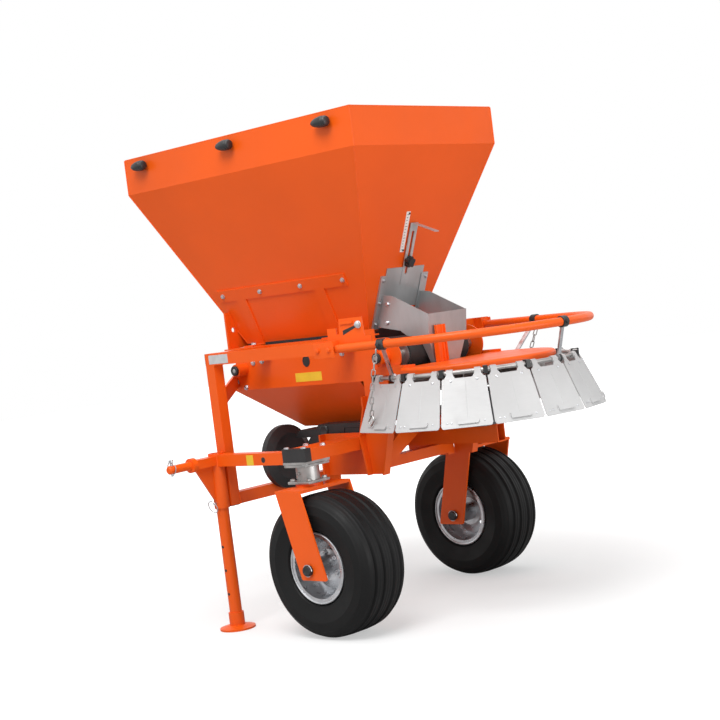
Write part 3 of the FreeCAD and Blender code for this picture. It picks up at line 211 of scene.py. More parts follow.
def flap_steel():
    """Satin stainless sheet of the deflector flaps."""
    grain = (1, 1, 10)
    finish = Finish("flap_steel", (0.52, 0.52, 0.52), 0.58, metallic=0.25)
    finish.shader.inputs["Specular IOR Level"].default_value = 0.3
    finish.vary_colour(4.0, 0.07)
    finish.vary_roughness(30.0, 0.5, 0.64, grain)
    finish.bump(240.0, 0.04, 0.0003, grain)
    return finish.material


def chute_steel():
    """Darker brushed stainless of the gate, its guides and the chute."""
    finish = Finish("chute_steel", (0.46, 0.475, 0.48), 0.42, metallic=0.6)
    finish.vary_colour(9.0, 0.16, (1, 1, 0.3))
    finish.vary_roughness(60.0, 0.34, 0.5, (6, 6, 1))
    finish.bump(300.0, 0.06, 0.0003, (8, 8, 1))
    return finish.material


def tyre_rubber():
    """Dusty black rubber."""
    finish = Finish("tyre_rubber", (0.0045, 0.0045, 0.0047), 0.6)
    finish.shader.inputs["Specular IOR Level"].default_value = 0.24
    finish.vary_colour(7.0, 0.35)
    finish.vary_roughness(14.0, 0.5, 0.7)
    finish.bump(320.0, 0.22, 0.0006)
    finish.ribs(26.0, 0.4, 0.0016)
    return finish.material


def zinc():
    """Zinc-plated steel with a mottled shine."""
    finish = Finish("zinc", (0.56, 0.57, 0.59), 0.34, metallic=0.95)
    finish.vary_colour(30.0, 0.11)
    finish.vary_roughness(42.0, 0.22, 0.42)
    finish.bump(150.0, 0.12, 0.0005)
    return finish.material


def bare_steel():
    """Turned steel with fine marks and a trace of grease."""
    finish = Finish("bare_steel", (0.42, 0.41, 0.40), 0.38, metallic=0.9)
    finish.vary_colour(18.0, 0.22)
    finish.vary_roughness(36.0, 0.26, 0.52)
    finish.bump(300.0, 0.12, 0.0004)
    return finish.material


def black_rubber():
    """Matt belt and skirt rubber with a cloth print."""
    finish = Finish("black_rubber", (0.018, 0.018, 0.018), 0.75)
    finish.vary_colour(22.0, 0.3)
    finish.bump(600.0, 0.25, 0.0005)
    return finish.material


def black_plastic():
    """Satin moulded plastic with a fine grain."""
    finish = Finish("black_plastic", (0.016, 0.016, 0.017), 0.42)
    finish.vary_colour(12.0, 0.25)
    finish.vary_roughness(20.0, 0.36, 0.5)
    finish.bump(700.0, 0.16, 0.0003)
    return finish.material


def white_plate():
    """A blank white enamelled strip."""
    finish = Finish("white_plate", (0.78, 0.78, 0.75), 0.4)
    finish.vary_colour(15.0, 0.05)
    finish.bump(200.0, 0.05, 0.0003)
    return finish.material


def yellow_sticker():
    """A blank yellow film."""
    finish = Finish("yellow_sticker", (0.80, 0.52, 0.03), 0.35)
    finish.vary_colour(30.0, 0.05)
    finish.bump(90.0, 0.05, 0.0003)
    return finish.material


def silver_label():
    """A blank satin aluminium plate."""
    finish = Finish("silver_label", (0.62, 0.62, 0.62), 0.36, metallic=0.6)
    finish.vary_colour(50.0, 0.06)
    finish.bump(180.0, 0.05, 0.0003)
    return finish.material


def cast_grey():
    """Painted casting with a sand-cast skin."""
    finish = Finish("cast_grey", (0.10, 0.105, 0.11), 0.5)
    finish.vary_colour(12.0, 0.2)
    finish.bump(90.0, 0.3, 0.001)
    return finish.material


def floor_finish():
    """A matt white floor that takes the machine's shadow and fades to plain white around it."""
    finish = Finish("floor", (0.52, 0.52, 0.52), 0.95)
    finish.vary_colour(0.6, 0.012)
    tree = finish.tree
    coords = tree.nodes.new("ShaderNodeTexCoord")
    length = tree.nodes.new("ShaderNodeVectorMath")
    length.operation = "LENGTH"
    finish.link(coords.outputs["Object"], length.inputs[0])
    fade = finish.node("ShaderNodeMapRange", From_Min=0.9, From_Max=2.4, To_Min=0.45, To_Max=1.0)
    fade.interpolation_type = "SMOOTHSTEP"
    finish.link(length.outputs["Value"], fade.inputs["Value"])
    path = tree.nodes.new("ShaderNodeLightPath")
    strength = tree.nodes.new("ShaderNodeMath")
    strength.operation = "MULTIPLY"
    finish.link(fade.outputs["Result"], strength.inputs[0])
    finish.link(path.outputs["Is Camera Ray"], strength.inputs[1])
    glow = tree.nodes.new("ShaderNodeEmission")
    finish.link(strength.outputs["Value"], glow.inputs["Strength"])
    both = tree.nodes.new("ShaderNodeAddShader")
    finish.link(finish.shader.outputs["BSDF"], both.inputs[0])
    finish.link(glow.outputs["Emission"], both.inputs[1])
    finish.link(both.outputs["Shader"], tree.nodes["Material Output"].inputs["Surface"])
    return finish.material


PAINT = orange_paint()
SHEET = stainless()
FLAP = flap_steel()
CHUTE = chute_steel()
TYRE = tyre_rubber()
ZINC = zinc()
STEEL = bare_steel()
RUBBER = black_rubber()
PLASTIC = black_plastic()
WHITE = white_plate()
YELLOW = yellow_sticker()
LABEL = silver_label()
CASTING = cast_grey()
BY_SLOT = {
    "frame_orange": PAINT,
    "stainless": SHEET,
    "tyre_rubber": TYRE,
    "galvanised": ZINC,
    "black_rubber": RUBBER,
    "black_plastic": PLASTIC,
    "bare_steel": STEEL,
    "cast_grey": CASTING,
}
SLOT_OF = {material.name: slot for slot, material in BY_SLOT.items()}
for plain in (FLAP, CHUTE, WHITE, YELLOW, LABEL):
    SLOT_OF[plain.name] = "stainless"


def paint_nodes():
    """Gives every CAD node the finish of its slot."""
    for part in frame["record"]["subparts"]:
        target = NODES[part["node"]]
        target.data.materials.clear()
        finish = BY_SLOT[part["material_slot"]]
        if part["node"].startswith("flap_") and finish is SHEET:
            finish = FLAP
        elif part["node"] in ("discharge_chute", "gate_slide", "gate_guides"):
            finish = CHUTE
        target.data.materials.append(finish)


# ---- mesh helpers -------------------------------------------------------------------------------


def piece(name, build, material, body, smooth=True):
    """A new mesh object from a function that fills a bmesh; it rides on a body."""
    mesh = bpy.data.meshes.new(name)
    work = bmesh.new()
    build(work)
    bmesh.ops.recalc_face_normals(work, faces=work.faces)
    work.to_mesh(mesh)
    work.free()
    mesh.materials.append(material)
    thing = bpy.data.objects.new(name, mesh)
    bpy.context.scene.collection.objects.link(thing)
    if smooth:
        for polygon in mesh.polygons:
            polygon.use_smooth = True
        mesh.set_sharp_from_angle(angle=math.radians(35))
    if body:
        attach(thing, body)
    return thing


def circle(count):
    """Cosine and sine at equal steps round a circle."""
    angles = [math.tau * step / count for step in range(count)]
    return [(math.cos(angle), math.sin(angle)) for angle in angles]


def join_rings(work, low, high):
    """Faces between two rings of as many vertices."""
    for step in range(len(low)):
        after = (step + 1) % len(low)
        work.faces.new((low[step], low[after], high[after], high[step]))


def facing(axis, origin, turn=0.0):
    """A matrix that carries +Z to axis at origin."""
    rotation = Vector(axis).to_track_quat("Z", "Y").to_matrix().to_4x4()
    return Matrix.Translation(origin) @ rotation @ Matrix.Rotation(turn, 4, "Z")


def lathe(work, profile, place, steps=32):
    """Turns (radius, height) points in millimetres around the local Z axis."""
    rings = []
    for radius, height in profile:
        points = [Vector((radius * MM * c, radius * MM * s, height * MM)) for c, s in circle(steps)]
        rings.append([work.verts.new(place @ point) for point in points])
    for low, high in zip(rings, rings[1:]):
        join_rings(work, low, high)
    work.faces.new(rings[0][::-1])
    work.faces.new(rings[-1])


def bolt(work, origin, axis, size=8.0, washer=True, turn=0.0):
    """A hexagon head with a chamfered crown on a washer; size is the thread in millimetres."""
    place = facing(axis, origin, turn)
    base = 1.6 if washer else 0.0
    if washer:
        rim = size * 1.05
        lathe(work, [(rim * 0.98, 0), (rim, 0.2), (rim, 1.3), (rim * 0.96, base)], place, 24)
    corner = size * 0.92
    high = base + size * 0.62
    lathe(work, [(corner, base), (corner, high - 0.8), (corner * 0.86, high)], place, 6)
    crown = [(corner * 0.45, high), (corner * 0.45, high + 0.3), (corner * 0.38, high + 0.6)]
    lathe(work, crown, place, 12)


def tube_along(work, points, radius, closed=False, sides=10):
    """A round bar of a radius in millimetres through a list of points."""
    rings = []
    count = len(points)
    side = None
    for index, point in enumerate(points):
        before = points[index - 1] if (closed or index) else point
        after = points[(index + 1) % count] if (closed or index < count - 1) else point
        tangent = (after - before).normalized()
        if side is None:
            side = tangent.orthogonal().normalized()
        side = (side - tangent * side.dot(tangent)).normalized()
        across = tangent.cross(side)
        offsets = [(side * c + across * s) * radius * MM for c, s in circle(sides)]
        rings.append([work.verts.new(point + offset) for offset in offsets])
    pairs = list(zip(rings, rings[1:]))
    if closed:
        pairs.append((rings[-1], rings[0]))
    for low, high in pairs:
        join_rings(work, low, high)
    if not closed:
        work.faces.new(rings[0][::-1])
        work.faces.new(rings[-1])


def slab(work, place, size, bevel=1.0):
    """A box of size (x, y, z) millimetres centred on place, with bevelled edges."""
    made = bmesh.ops.create_cube(work, size=1.0)
    scale = Matrix.Diagonal((size[0] * MM, size[1] * MM, size[2] * MM, 1))
    bmesh.ops.transform(work, matrix=place @ scale, verts=made["verts"])
    if bevel:
        edges = list({e for v in made["verts"] for e in v.link_edges})
        bmesh.ops.bevel(work, geom=edges, offset=bevel * MM, segments=2, profile=0.7, affect="EDGES")


def prism(work, place, outline, low, high):
    """A plate between two heights over an outline of (x, y) millimetres."""
    layers = []
    for height in (low, high):
        corners = [place @ Vector((x * MM, y * MM, height * MM)) for x, y in outline]
        layers.append([work.verts.new(corner) for corner in corners])
    work.faces.new(layers[0][::-1])
    work.faces.new(layers[1])
    join_rings(work, *layers)


def basis(origin, x_axis, y_axis):
    """A matrix with the given local X and Y directions."""
    x_axis, y_axis = Vector(x_axis).normalized(), Vector(y_axis).normalized()
    z_axis = x_axis.cross(y_axis).normalized()
    y_axis = z_axis.cross(x_axis)
    rows = Matrix((x_axis, y_axis, z_axis)).transposed().to_4x4()
    return Matrix.Translation(origin) @ rows


def weld_bead(name, start, end):
    """A round weld bead between two points."""
    count = max(6, int((end - start).length / (5 * MM)))

    def build(work):
        points = [start.lerp(end, i / count) for i in range(count + 1)]
        tube_along(work, points, 2.2, sides=6)

    piece(name, build, PAINT, "chassis")


# ---- hopper trim --------------------------------------------------------------------------------


def wall_point(x, z, side):
    """A place on the hopper's side wall, x and z in millimetres."""
    half = HOPPER_HALF - max(0.0, SIDE_LEAN * (BAND_FOOT - z) * MM)
    return Vector((BEAM.x + x * MM, BEAM.y + side * half, z * MM))


def wall_normal(side):
    """The direction out of the hopper's sloped side wall."""
    return Vector((0, side, -SIDE_LEAN)).normalized()


def tarp_hooks():
    """Black bullet-shaped hooks under the rim, three on each side, each on a short stem."""
    tail = [(7, -32), (14, -29), (17, -23), (16.5, -21), (16.5, -18), (18, -16)]
    nose = [(18, -2), (16, 12), (12, 27), (6, 37), (1, 42)]

    def build(work):
        for side in (1, -1):
            for x in (-180, 270, 720):
                origin = at(x, 0, 1608)
                origin.y = BEAM.y + side * HOPPER_HALF
                lathe(work, [(9, -1), (9, 12)], facing((0, side, 0), origin), 20)
                place = facing((1, 0, 0), origin + Vector((0, side * 21 * MM, 0)))
                lathe(work, tail + nose, place, 28)

    piece("tarp_hooks", build, PLASTIC, "chassis")


def rim_roll():
    """The folded top edge of the hopper."""
    low, high = HOPPER_LOW, HOPPER_HIGH
    inset = 2 * MM
    corners = [
        Vector((low.x + inset, low.y + inset, high.z)),
        Vector((high.x - inset, low.y + inset, high.z)),
        Vector((high.x - inset, high.y - inset, high.z)),
        Vector((low.x + inset, high.y - inset, high.z)),
    ]

    def build(work):
        for start, end in zip(corners, corners[1:] + corners[:1]):
            tube_along(work, [start, end], 2.4)

    piece("rim_edge", build, PAINT, "chassis")


def hopper_seams():
    """Folded corner seams down the hopper."""
    drop = BAND_FOOT - PANEL_FOOT

    def build(work):
        for edge, lean in ((MOUTH_FRONT, -FRONT_LEAN), (MOUTH_REAR, REAR_LEAN)):
            for side in (1, -1):
                shoulder = at(edge, side * MOUTH_HALF, BAND_FOOT)
                foot = at(edge + lean * drop, side * (MOUTH_HALF - SIDE_LEAN * drop), PANEL_FOOT)
                tube_along(work, [shoulder, foot], 1.8, sides=8)
                tube_along(work, [shoulder, at(edge, side * MOUTH_HALF, MOUTH_Z)], 1.8, sides=8)

    piece("hopper_seams", build, PAINT, "chassis")


def cradle_bolts():
    """Bolts along the cradle strips and on their feet."""

    def build(work):
        for side in (1, -1):
            normal = wall_normal(side)
            for x in (-26, 172, 371, 562):
                bolt(work, wall_point(x, 1117, side) + normal * 5 * MM, normal, 8, turn=x)
            for x in (95, 480):
                bolt(work, at(x, side * 160, 932), UP, 10)

    piece("cradle_bolts", build, ZINC, "chassis")


# ---- plates and stickers ------------------------------------------------------------------------


def sticker(name, origin, x_axis, y_axis, size, material):
    """A thin blank plate with rounded edges."""

    def build(work):
        slab(work, basis(origin, x_axis, y_axis), (size[0], size[1], 0.8), 0.3)

    piece(name, build, material, "chassis", smooth=False)


def blank_plates():
    sticker("nameplate", at(342, 459.4, 906), (1, 0, 0), UP, (94, 30), LABEL)
    sticker("yellow_plate", at(174, 215.4, 807), (1, 0, 0), UP, (124, 30), YELLOW)
    sticker("yellow_square", at(207, 499.4, 569), (1, 0, 0), UP, (32, 34), YELLOW)


def side_slot():
    """The oval hand hole's rubber grommet in the trough side."""

    def build(work):
        place = basis(at(176, 215.5, 861), (1, 0, 0), UP)
        outer = [place @ Vector((15 * MM * c, 18 * MM * s, 0)) for c, s in circle(32)]
        tube_along(work, outer, 2.0, closed=True)
        work.faces.new([work.verts.new(p) for p in outer])

    piece("side_slot", build, RUBBER, "chassis")


# ---- running gear trim --------------------------------------------------------------------------


def wheel_trim(side, sign):
    """Valve stem, bead rings and wheel bolts of one wheel."""
    centre = middle(f"wheel_rim_{side}")
    outward = Vector((0, sign, 0))

    def build(work):
        for direction in (1, -1):
            face = centre + Vector((0, direction * 84 * MM, 0))
            ring = [face + Vector((c * 112 * MM, 0, s * 112 * MM)) for c, s in circle(72)]
            tube_along(work, ring, 3.6, closed=True, sides=8)
        stem = centre + outward * 40 * MM + Vector((0, 0, 80 * MM))
        lathe(work, [(4, 0), (4, 22), (3, 24)], facing(outward, stem), 12)
        for c, s in circle(5):
            spot = centre + outward * 30 * MM + Vector((c * 40 * MM, 0, s * 40 * MM))
            bolt(work, spot, outward, 10)

    piece(f"wheel_trim_{side}", build, ZINC, f"wheel_{side}")


def axle_caps(side):
    """Black caps with a spring clip over both ends of the axle."""
    centre = middle(f"wheel_rim_{side}")
    turns = [math.radians(300) * step / 30 for step in range(31)]
    arc = [Vector((18.4 * MM * math.cos(turn), 18.4 * MM * math.sin(turn), 0)) for turn in turns]

    def cap(work):
        for direction in (1, -1):
            place = facing((0, direction, 0), centre + Vector((0, direction * 118.4 * MM, 0)))
            lathe(work, [(17, 0), (17, 12), (15.5, 15), (9, 15.5), (8, 14)], place, 32)

    def clip(work):
        for direction in (1, -1):
            place = facing((0, direction, 0), centre + Vector((0, direction * 127 * MM, 0)))
            tube_along(work, [place @ point for point in arc], 1.3, sides=8)

    piece(f"axle_caps_{side}", cap, PLASTIC, f"castor_{side}")
    piece(f"axle_clips_{side}", clip, ZINC, f"castor_{side}")


def hub_bolts():
    """Flange bolts on both castor hubs, below and above the beam."""

    def build(work):
        for sign in (1, -1):
            for dx in (-38, 38):
                for dy in (-44, 44):
                    bolt(work, at(dx, sign * CASTOR_Y + dy, 550), (0, 0, -1), 10)
                    bolt(work, at(dx, sign * CASTOR_Y + dy, 598), UP, 10)

    piece("hub_bolts", build, ZINC, "chassis")


def hub_plates():
    """The bare bearing flanges of each castor, with the corner bolts of the lower one."""

    def build(work):
        for sign in (1, -1):
            slab(work, basis(at(0, sign * CASTOR_Y, 491), (1, 0, 0), (0, 1, 0)), (96, 96, 9), 2.0)
            slab(work, basis(at(0, sign * CASTOR_Y, 545), (1, 0, 0), (0, 1, 0)), (98, 108, 8), 1.5)
            for dx in (-36, 36):
                for dy in (-36, 36):
                    bolt(work, at(dx, sign * CASTOR_Y + dy, 496), UP, 9)

    piece("hub_plates", build, STEEL, "chassis")


def grease_nipples():
    """A grease nipple on each hub tube."""

    def build(work):
        for sign in (1, -1):
            place = facing((0, sign, 0), at(0, sign * (CASTOR_Y + 38), 520))
            lathe(work, [(4, 0), (4, 5), (2, 8), (2.6, 11)], place, 12)

    piece("grease_nipples", build, STEEL, "chassis")


# ---- hitch and jack trim ------------------------------------------------------------------------


def lynch_pins():
    """A spring ring and a pin through the end of each lower-link pin."""

    def build(work):
        for sign in (1, -1):
            top = at(POST_X, HITCH_Y + sign * LYNCH_REACH, LINK_Z + 24)
            lathe(work, [(5, -46), (5.2, -2), (8, 0), (8, 8)], facing(UP, top), 16)
            ring = [top + Vector((20 * s, 0, 22 * c - 18)) * MM for c, s in circle(40)]
            tube_along(work, ring, 1.7, closed=True, sides=8)

    piece("lynch_pins", build, ZINC, "chassis")


def jack_pin():
    """The cross pin through the jack's sleeve with its ring handle."""

    def build(work):
        lathe(work, [(5, 0), (5, 72)], facing((0, -1, 0), at(POST_X, 520, 430)), 16)
        ring = [at(POST_X + 4 + 20 * c, 522 + 7 * s, 419 + 20 * s) for c, s in circle(28)]
        tube_along(work, ring, 1.8, closed=True, sides=8)

    piece("jack_pin", build, ZINC, "chassis")


def jack_hole_shade():
    """Thin black discs down the jack's leg, painted as the shade in its spare holes."""

    def build(work):
        for z in (120, 200, 280):
            for sign in (1, -1):
                place = facing((0, sign, 0), at(POST_X, JACK_Y + sign * 20.8, z))
                # Each hole is a black disc on the leg's face: painted shade, not an opening.
                lathe(work, [(5, 0), (5, 0.5)], place, 20)

    piece("jack_hole_shade", build, PLASTIC, "jack")


# ---- conveyor, chute and gate trim --------------------------------------------------------------


def bearing_rings():
    """Black end rings with a steel centre on both ends of the two roller shafts."""

    def ring(work):
        profile = [(14.5, -5), (17, -4), (17, 2), (15, 3.5), (10, 3.5), (9, 1)]
        for x in ROLLER_X:
            for sign in (1, -1):
                lathe(work, profile, facing((0, sign, 0), at(x, sign * 263, ROLLER_Z)), 36)

    def centre(work):
        for x in ROLLER_X:
            for sign in (1, -1):
                place = facing((0, sign, 0), at(x, sign * 264.2, ROLLER_Z))
                lathe(work, [(7.5, 0), (7.5, 1.4), (6, 2)], place, 24)

    piece("bearing_rings", ring, PLASTIC, "chassis")
    piece("bearing_centres", centre, STEEL, "chassis")


def trough_bolts():
    """Bolts that hold the conveyor's side plates to the rails, bearings and belly."""

    def build(work):
        for sign in (1, -1):
            for x, z in ((436, 871), (391, 874), (530, 808), (487, 787), (61, 879), (5, 875)):
                bolt(work, at(x, sign * TROUGH_Y, z), (0, sign, 0), 9, turn=x)

    piece("trough_bolts", build, ZINC, "chassis")


REAR_UP = Vector((-REAR_LEAN, 0, 1)).normalized()
REAR_OUT = Vector((-1, 0, -REAR_LEAN)).normalized()
REAR_ORIGIN = at(MOUTH_REAR + REAR_LEAN * (BAND_FOOT - GATE_FOOT), 0, GATE_FOOT)


def rear_wall(up, across, out):
    """A place on the hopper's rear wall: up the wall, across and out of it, in millimetres."""
    return REAR_ORIGIN + REAR_UP * up * MM + Vector((0, across * MM, 0)) + REAR_OUT * out * MM


def guide_bolts():
    """Screws along both gate guides."""

    def build(work):
        for sign in (1, -1):
            for up in (24, 98, 176):
                bolt(work, rear_wall(up, sign * 108, 7), REAR_OUT, 6)

    piece("guide_bolts", build, ZINC, "chassis")


def scale_strip():
    """The blank setting scale beside the gate's strap."""

    def build(work):
        slab(work, basis(rear_wall(337, 35, 1), (0, 1, 0), REAR_UP), (18, 138, 2), 0.3)

    def screws(work):
        for up in (274, 400):
            bolt(work, rear_wall(up, 31, 2), REAR_OUT, 4, washer=False)

    piece("scale_strip", build, WHITE, "chassis", smooth=False)
    piece("scale_screws", screws, PLASTIC, "chassis")


def scale_marks():
    """Plain dashes up the setting scale."""

    def build(work):
        for mark in range(13):
            width = 7 if mark % 4 else 11
            place = basis(rear_wall(276 + 10 * mark, 41 - width / 2, 2.2), (0, 1, 0), REAR_UP)
            slab(work, place, (width, 1.4, 0.4), 0)

    piece("scale_marks", build, PLASTIC, "chassis", smooth=False)


def chute_screws():
    """Screws that hold the chute's side plates to the gate guides."""

    def build(work):
        for sign in (1, -1):
            for x, z in ((-117, 1017), (-106, 956)):
                bolt(work, at(x, sign * 98, z), (0, sign, 0), 7)

    piece("chute_screws", build, ZINC, "chassis")


def prop_top():
    """The top of the chute's prop and the ribs down its face."""

    def build(work):
        slab(work, basis(at(-288, 53, 917), (1, 0, 0), (0, 1, 0)), (7, 46, 30), 0.8)
        for y in (33, 47, 73):
            slab(work, basis(at(-291.5, y, 873), (1, 0, 0), (0, 1, 0)), (5, 6, 118), 0.8)

    piece("prop_top", build, PAINT, "chassis")


# ---- spinner guard ------------------------------------------------------------------------------


def around(radius, degrees, z):
    """A place around the spinner's axis, 0 degrees being forward."""
    angle, reach = math.radians(degrees), radius * MM
    return Vector((SPINNER.x + reach * math.cos(angle), SPINNER.y + reach * math.sin(angle), z * MM))


def ring_tangent(degrees):
    """The direction round the spinner's ring at an angle."""
    return around(1, degrees + 90, 0) - around(0, degrees, 0)


def bow_brackets():
    """Bolted plates where the bow meets the two rails."""

    def build(work):
        for (_, x, _), side in zip(BOW_ENDS, (1, -1)):
            slab(work, basis(at(x + 34, side * 461.5, RAIL_Z), (1, 0, 0), UP), (84, 48, 5), 1.5)
            for dx in (-24, 24):
                bolt(work, at(x + 34 + dx, side * 464, RAIL_Z), (0, side, 0), 8)

    piece("bow_brackets", build, PAINT, "chassis")


def bow_hinge():
    """The stepped plate inside the bow's left end, with its pivot bolt and a thin black plate painted
    as the shade in its slanted slot.
    """
    outline = [(-34, -8), (118, -8), (118, 31), (96, 31), (92, 91), (11, 91)]
    outline += [(8, 44), (-2, 44), (-2, 64), (-34, 64)]
    along, outward = Vector((-0.972, -0.235, 0)), Vector((-0.235, 0.972, 0))
    _, x, y = BOW_ENDS[0]
    place = basis(at(x, y, RAIL_Z) - outward * 17 * MM, along, UP)

    def plates(work):
        prism(work, place, outline, -3, 3)
        prism(work, place, [(16, 74), (60, 74), (60, 82), (16, 82)], 3, 8)

    def pivot(work):
        bolt(work, place @ Vector((78 * MM, 68 * MM, 3 * MM)), outward, 11)

    # The slot is a thin black plate on the face: painted shade where the slanted opening is.
    def slot(work):
        prism(work, place, [(22, 40), (70, 60), (70, 68), (22, 54)], 3, 3.4)

    piece("bow_hinge", plates, PAINT, "chassis")
    piece("bow_hinge_bolt", pivot, ZINC, "chassis")
    piece("bow_hinge_slot_shade", slot, PLASTIC, "chassis")


def rail_hole_shade():
    """A thin black disc on the left middle rail, painted as the shade in the hole through it."""

    def build(work):
        # A black disc painted as the shade inside the hole.
        lathe(work, [(9, 0), (9, 0.5)], facing((0, 1, 0), at(144, 499, MID_RAIL_Z)), 28)

    piece("rail_hole_shade", build, PLASTIC, "chassis")


def rail_caps():
    """Black plugs in the open front ends of the top rails and the lower ends of the posts."""

    def build(work):
        for side in (1, -1):
            slab(work, basis(at(409, side * RAIL_Y, 907), (0, 1, 0), UP), (38, 38, 3), 1.2)
        for y in (RAIL_Y, 2 * HITCH_Y - RAIL_Y):
            slab(work, basis(at(POST_X, y, 411), (1, 0, 0), (0, 1, 0)), (38, 38, 3), 1.2)

    piece("tube_plugs", build, PLASTIC, "chassis")


def bow_line(degrees):
    """The bow's centre line at an angle around the spinner, and its direction there.

    The pipe runs straight from each end to where it touches its arc.
    """
    for (touch, x, y), side in zip(BOW_ENDS, (1, -1)):
        if side * (touch - degrees) > 0:
            reach = BOW_RADIUS / math.cos(math.radians(touch - degrees))
            return around(reach, degrees, RAIL_Z), at(x, y, RAIL_Z) - around(BOW_RADIUS, touch, RAIL_Z)
    return around(BOW_RADIUS, degrees, RAIL_Z), ring_tangent(degrees)


def bow_clamps():
    """Black pipe clamps on the bow at the flap hangers, each with its bolt."""

    def build(work):
        for degrees in CLAMP_ANGLES:
            spot, along = bow_line(degrees)
            profile = [(16.4, -12), (17.8, -11), (17.8, 11), (16.4, 12)]
            lathe(work, profile, facing(along, spot), 32)
            outward = (spot - around(0, 0, RAIL_Z)).normalized()
            bolt(work, spot + outward * 17 * MM, outward, 8, washer=False)

    piece("bow_clamps", build, PLASTIC, "chassis")


def rod_sleeves():
    """Black rubber sleeves over the rod's clamps at the flap hangers."""

    def build(work):
        for degrees, radius in ((76.5, 324.4), (180, ROD_RING), (283.5, 324.4)):
            profile = [(13.2, -6), (13.8, -5), (13.8, 5), (13.2, 6)]
            lathe(work, profile, facing(ring_tangent(degrees), around(radius, degrees, ROD_Z)), 28)

    piece("rod_sleeves", build, PLASTIC, "chassis")


def flap_axes(index):
    """A flap's hinge, and the directions out of the ring, down the sheet and out of its face."""
    hinge = Vector(JOINTS[f"flap_{index}_hinge"]["pos_m"])
    outward = Vector((hinge.x - SPINNER.x, hinge.y - SPINNER.y, 0)).normalized()
    down = outward * math.sin(FLAP_FLARE) - UP * math.cos(FLAP_FLARE)
    face = outward * math.cos(FLAP_FLARE) + UP * math.sin(FLAP_FLARE)
    return hinge, outward, down, face


def link(centre, along, across):
    """The centre line of one oval chain link."""
    points = []
    for c, s in circle(20):
        half = 7.4 if c > 0 else -7.4
        points.append(centre + (along * (half + 5.6 * c) + across * 5.6 * s) * MM)
    return points


def shackle(centre, along, side):
    """The centre line of the tilted rectangular shackle, with its corners cut."""
    tilt = (side * 0.55 + along).normalized()
    cross = (side - tilt * side.dot(tilt)).normalized()
    signs = ((-1, -1), (1, -1), (1, 1), (-1, 1))
    corners = [centre + tilt * u * 17 * MM + cross * v * 9 * MM for u, v in signs]
    points = []
    for k, corner in enumerate(corners):
        for neighbour in (corners[k - 1], corners[(k + 1) % 4]):
            points.append(corner.lerp(neighbour, 3 * MM / (neighbour - corner).length))
    return points


def chain(name, top, bottom, outward):
    """A welded link chain from the bow to a flap, with a shackle at its lower end."""
    drop = bottom - top
    along = drop.normalized()
    side = along.cross(outward).normalized()
    flat = side.cross(along).normalized()
    count = round(drop.length / (24 * MM)) - 1
    pitch = drop.length / (count + 1.3)

    def build(work):
        for k in range(count):
            sag = flat * 6 * MM * math.sin(math.pi * (k + 0.5) / count)
            turn = math.radians(45 if k % 2 else -45)
            across = side * math.cos(turn) + flat * math.sin(turn)
            tube_along(work, link(top + along * pitch * (k + 0.5) + sag, along, across), 1.7, True, 8)
        tube_along(work, shackle(top + along * pitch * (count + 0.55), along, side), 2.4, True, 8)

    thing = piece(name, build, STEEL, None)
    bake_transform(thing)


def flap_chain(name, degrees, index):
    """The chain from the bow's clamp at an angle to the outer flap below it."""
    hinge, outward, down, face = flap_axes(index)
    forward = (Vector((1, 0, 0)) - outward * outward.x).normalized()
    top = bow_line(degrees)[0] + outward * 21 * MM - UP * 12 * MM
    bottom = hinge + down * 158 * MM + face * 18 * MM + forward * 38 * MM
    chain(name, top, bottom, outward)


def flap_trim(index):
    """Knuckle rivets, edge rivets, the pressed crease and the folded side edges of one flap."""
    hinge, outward, down, face = flap_axes(index)
    across = UP.cross(outward)

    def spot(drop, over, out):
        return hinge + (down * drop + across * over + face * out) * MM

    def edge(drop):
        """Half the sheet's width at a drop below the hinge, less half the seam."""
        distance = ROD_RING * math.cos(FLAP_HALF) + drop * math.sin(FLAP_FLARE)
        return distance * math.tan(FLAP_HALF) - 2.9

    def rivets(work):
        knuckles = [(30, 40, 4), (30, -40, 4)]
        edges = [(162, -60, 2.8), (162, -46, 2.8), (162, 54, 2.8)]
        for drop, over, size in knuckles + edges:
            profile = [(size, 0), (size * 0.95, 1.2), (size * 0.5, 2.0)]
            lathe(work, profile, facing(face, spot(drop, over, 10.5)), 14)

    def folds(work):
        tube_along(work, [spot(34, 4, 10.1), spot(150, 4, 10.1)], 0.9, sides=8)
        for sign in (1, -1):
            if not 1 <= index + sign <= FLAP_COUNT:
                continue
            ends = ((24, -0.5), (172, -0.5), (172, 1.9), (24, 1.9))
            corners = [(drop, sign * (edge(drop) + over)) for drop, over in ends]
            prism(work, basis(hinge, down, across), corners, 8.1, 10.4)

    piece(f"flap_rivets_{index}", rivets, ZINC, f"flap_{index}")
    piece(f"flap_folds_{index}", folds, FLAP, f"flap_{index}")


# ---- drive trim ---------------------------------------------------------------------------------


def input_splines():
    """Six splines on the input stub."""

    def build(work):
        for c, s in circle(6):
            centre = at(425, HITCH_Y + 16.4 * c, INPUT_Z + 16.4 * s)
            slab(work, basis(centre, (1, 0, 0), (0, c, s)), (66, 3.0, 7), 0.6)

    piece("input_splines", build, STEEL, "chassis")


def cover_hood():
    """The tall black part of the driveline's cover, with a sloped front corner and a round boss."""
    outline = [(-58, 626), (60, 626), (74, 574), (250, 574), (216, 608), (179, 641), (-58, 641)]
    boss = [(20, 0), (20, 2), (18.5, 4), (15, 5), (13, 4)]

    def build(work):
        prism(work, basis(at(0, HITCH_Y, 0), (1, 0, 0), UP), outline, -2, 56)
        lathe(work, boss, facing((0, 1, 0), at(156, HITCH_Y + 2, 619)), 32)

    piece("cover_hood", build, PLASTIC, "chassis")


def gearbox_trim():
    """Flange bolts and a fill plug on the gearbox."""

    def build(work):
        for dx in (-55, 55):
            for dy in (-55, 55):
                bolt(work, at(GEARBOX_X + dx, dy, 700), UP, 10)
        bolt(work, at(GEARBOX_X, 75, 660), (0, 1, 0), 14)

    piece("gearbox_trim", build, ZINC, "chassis")


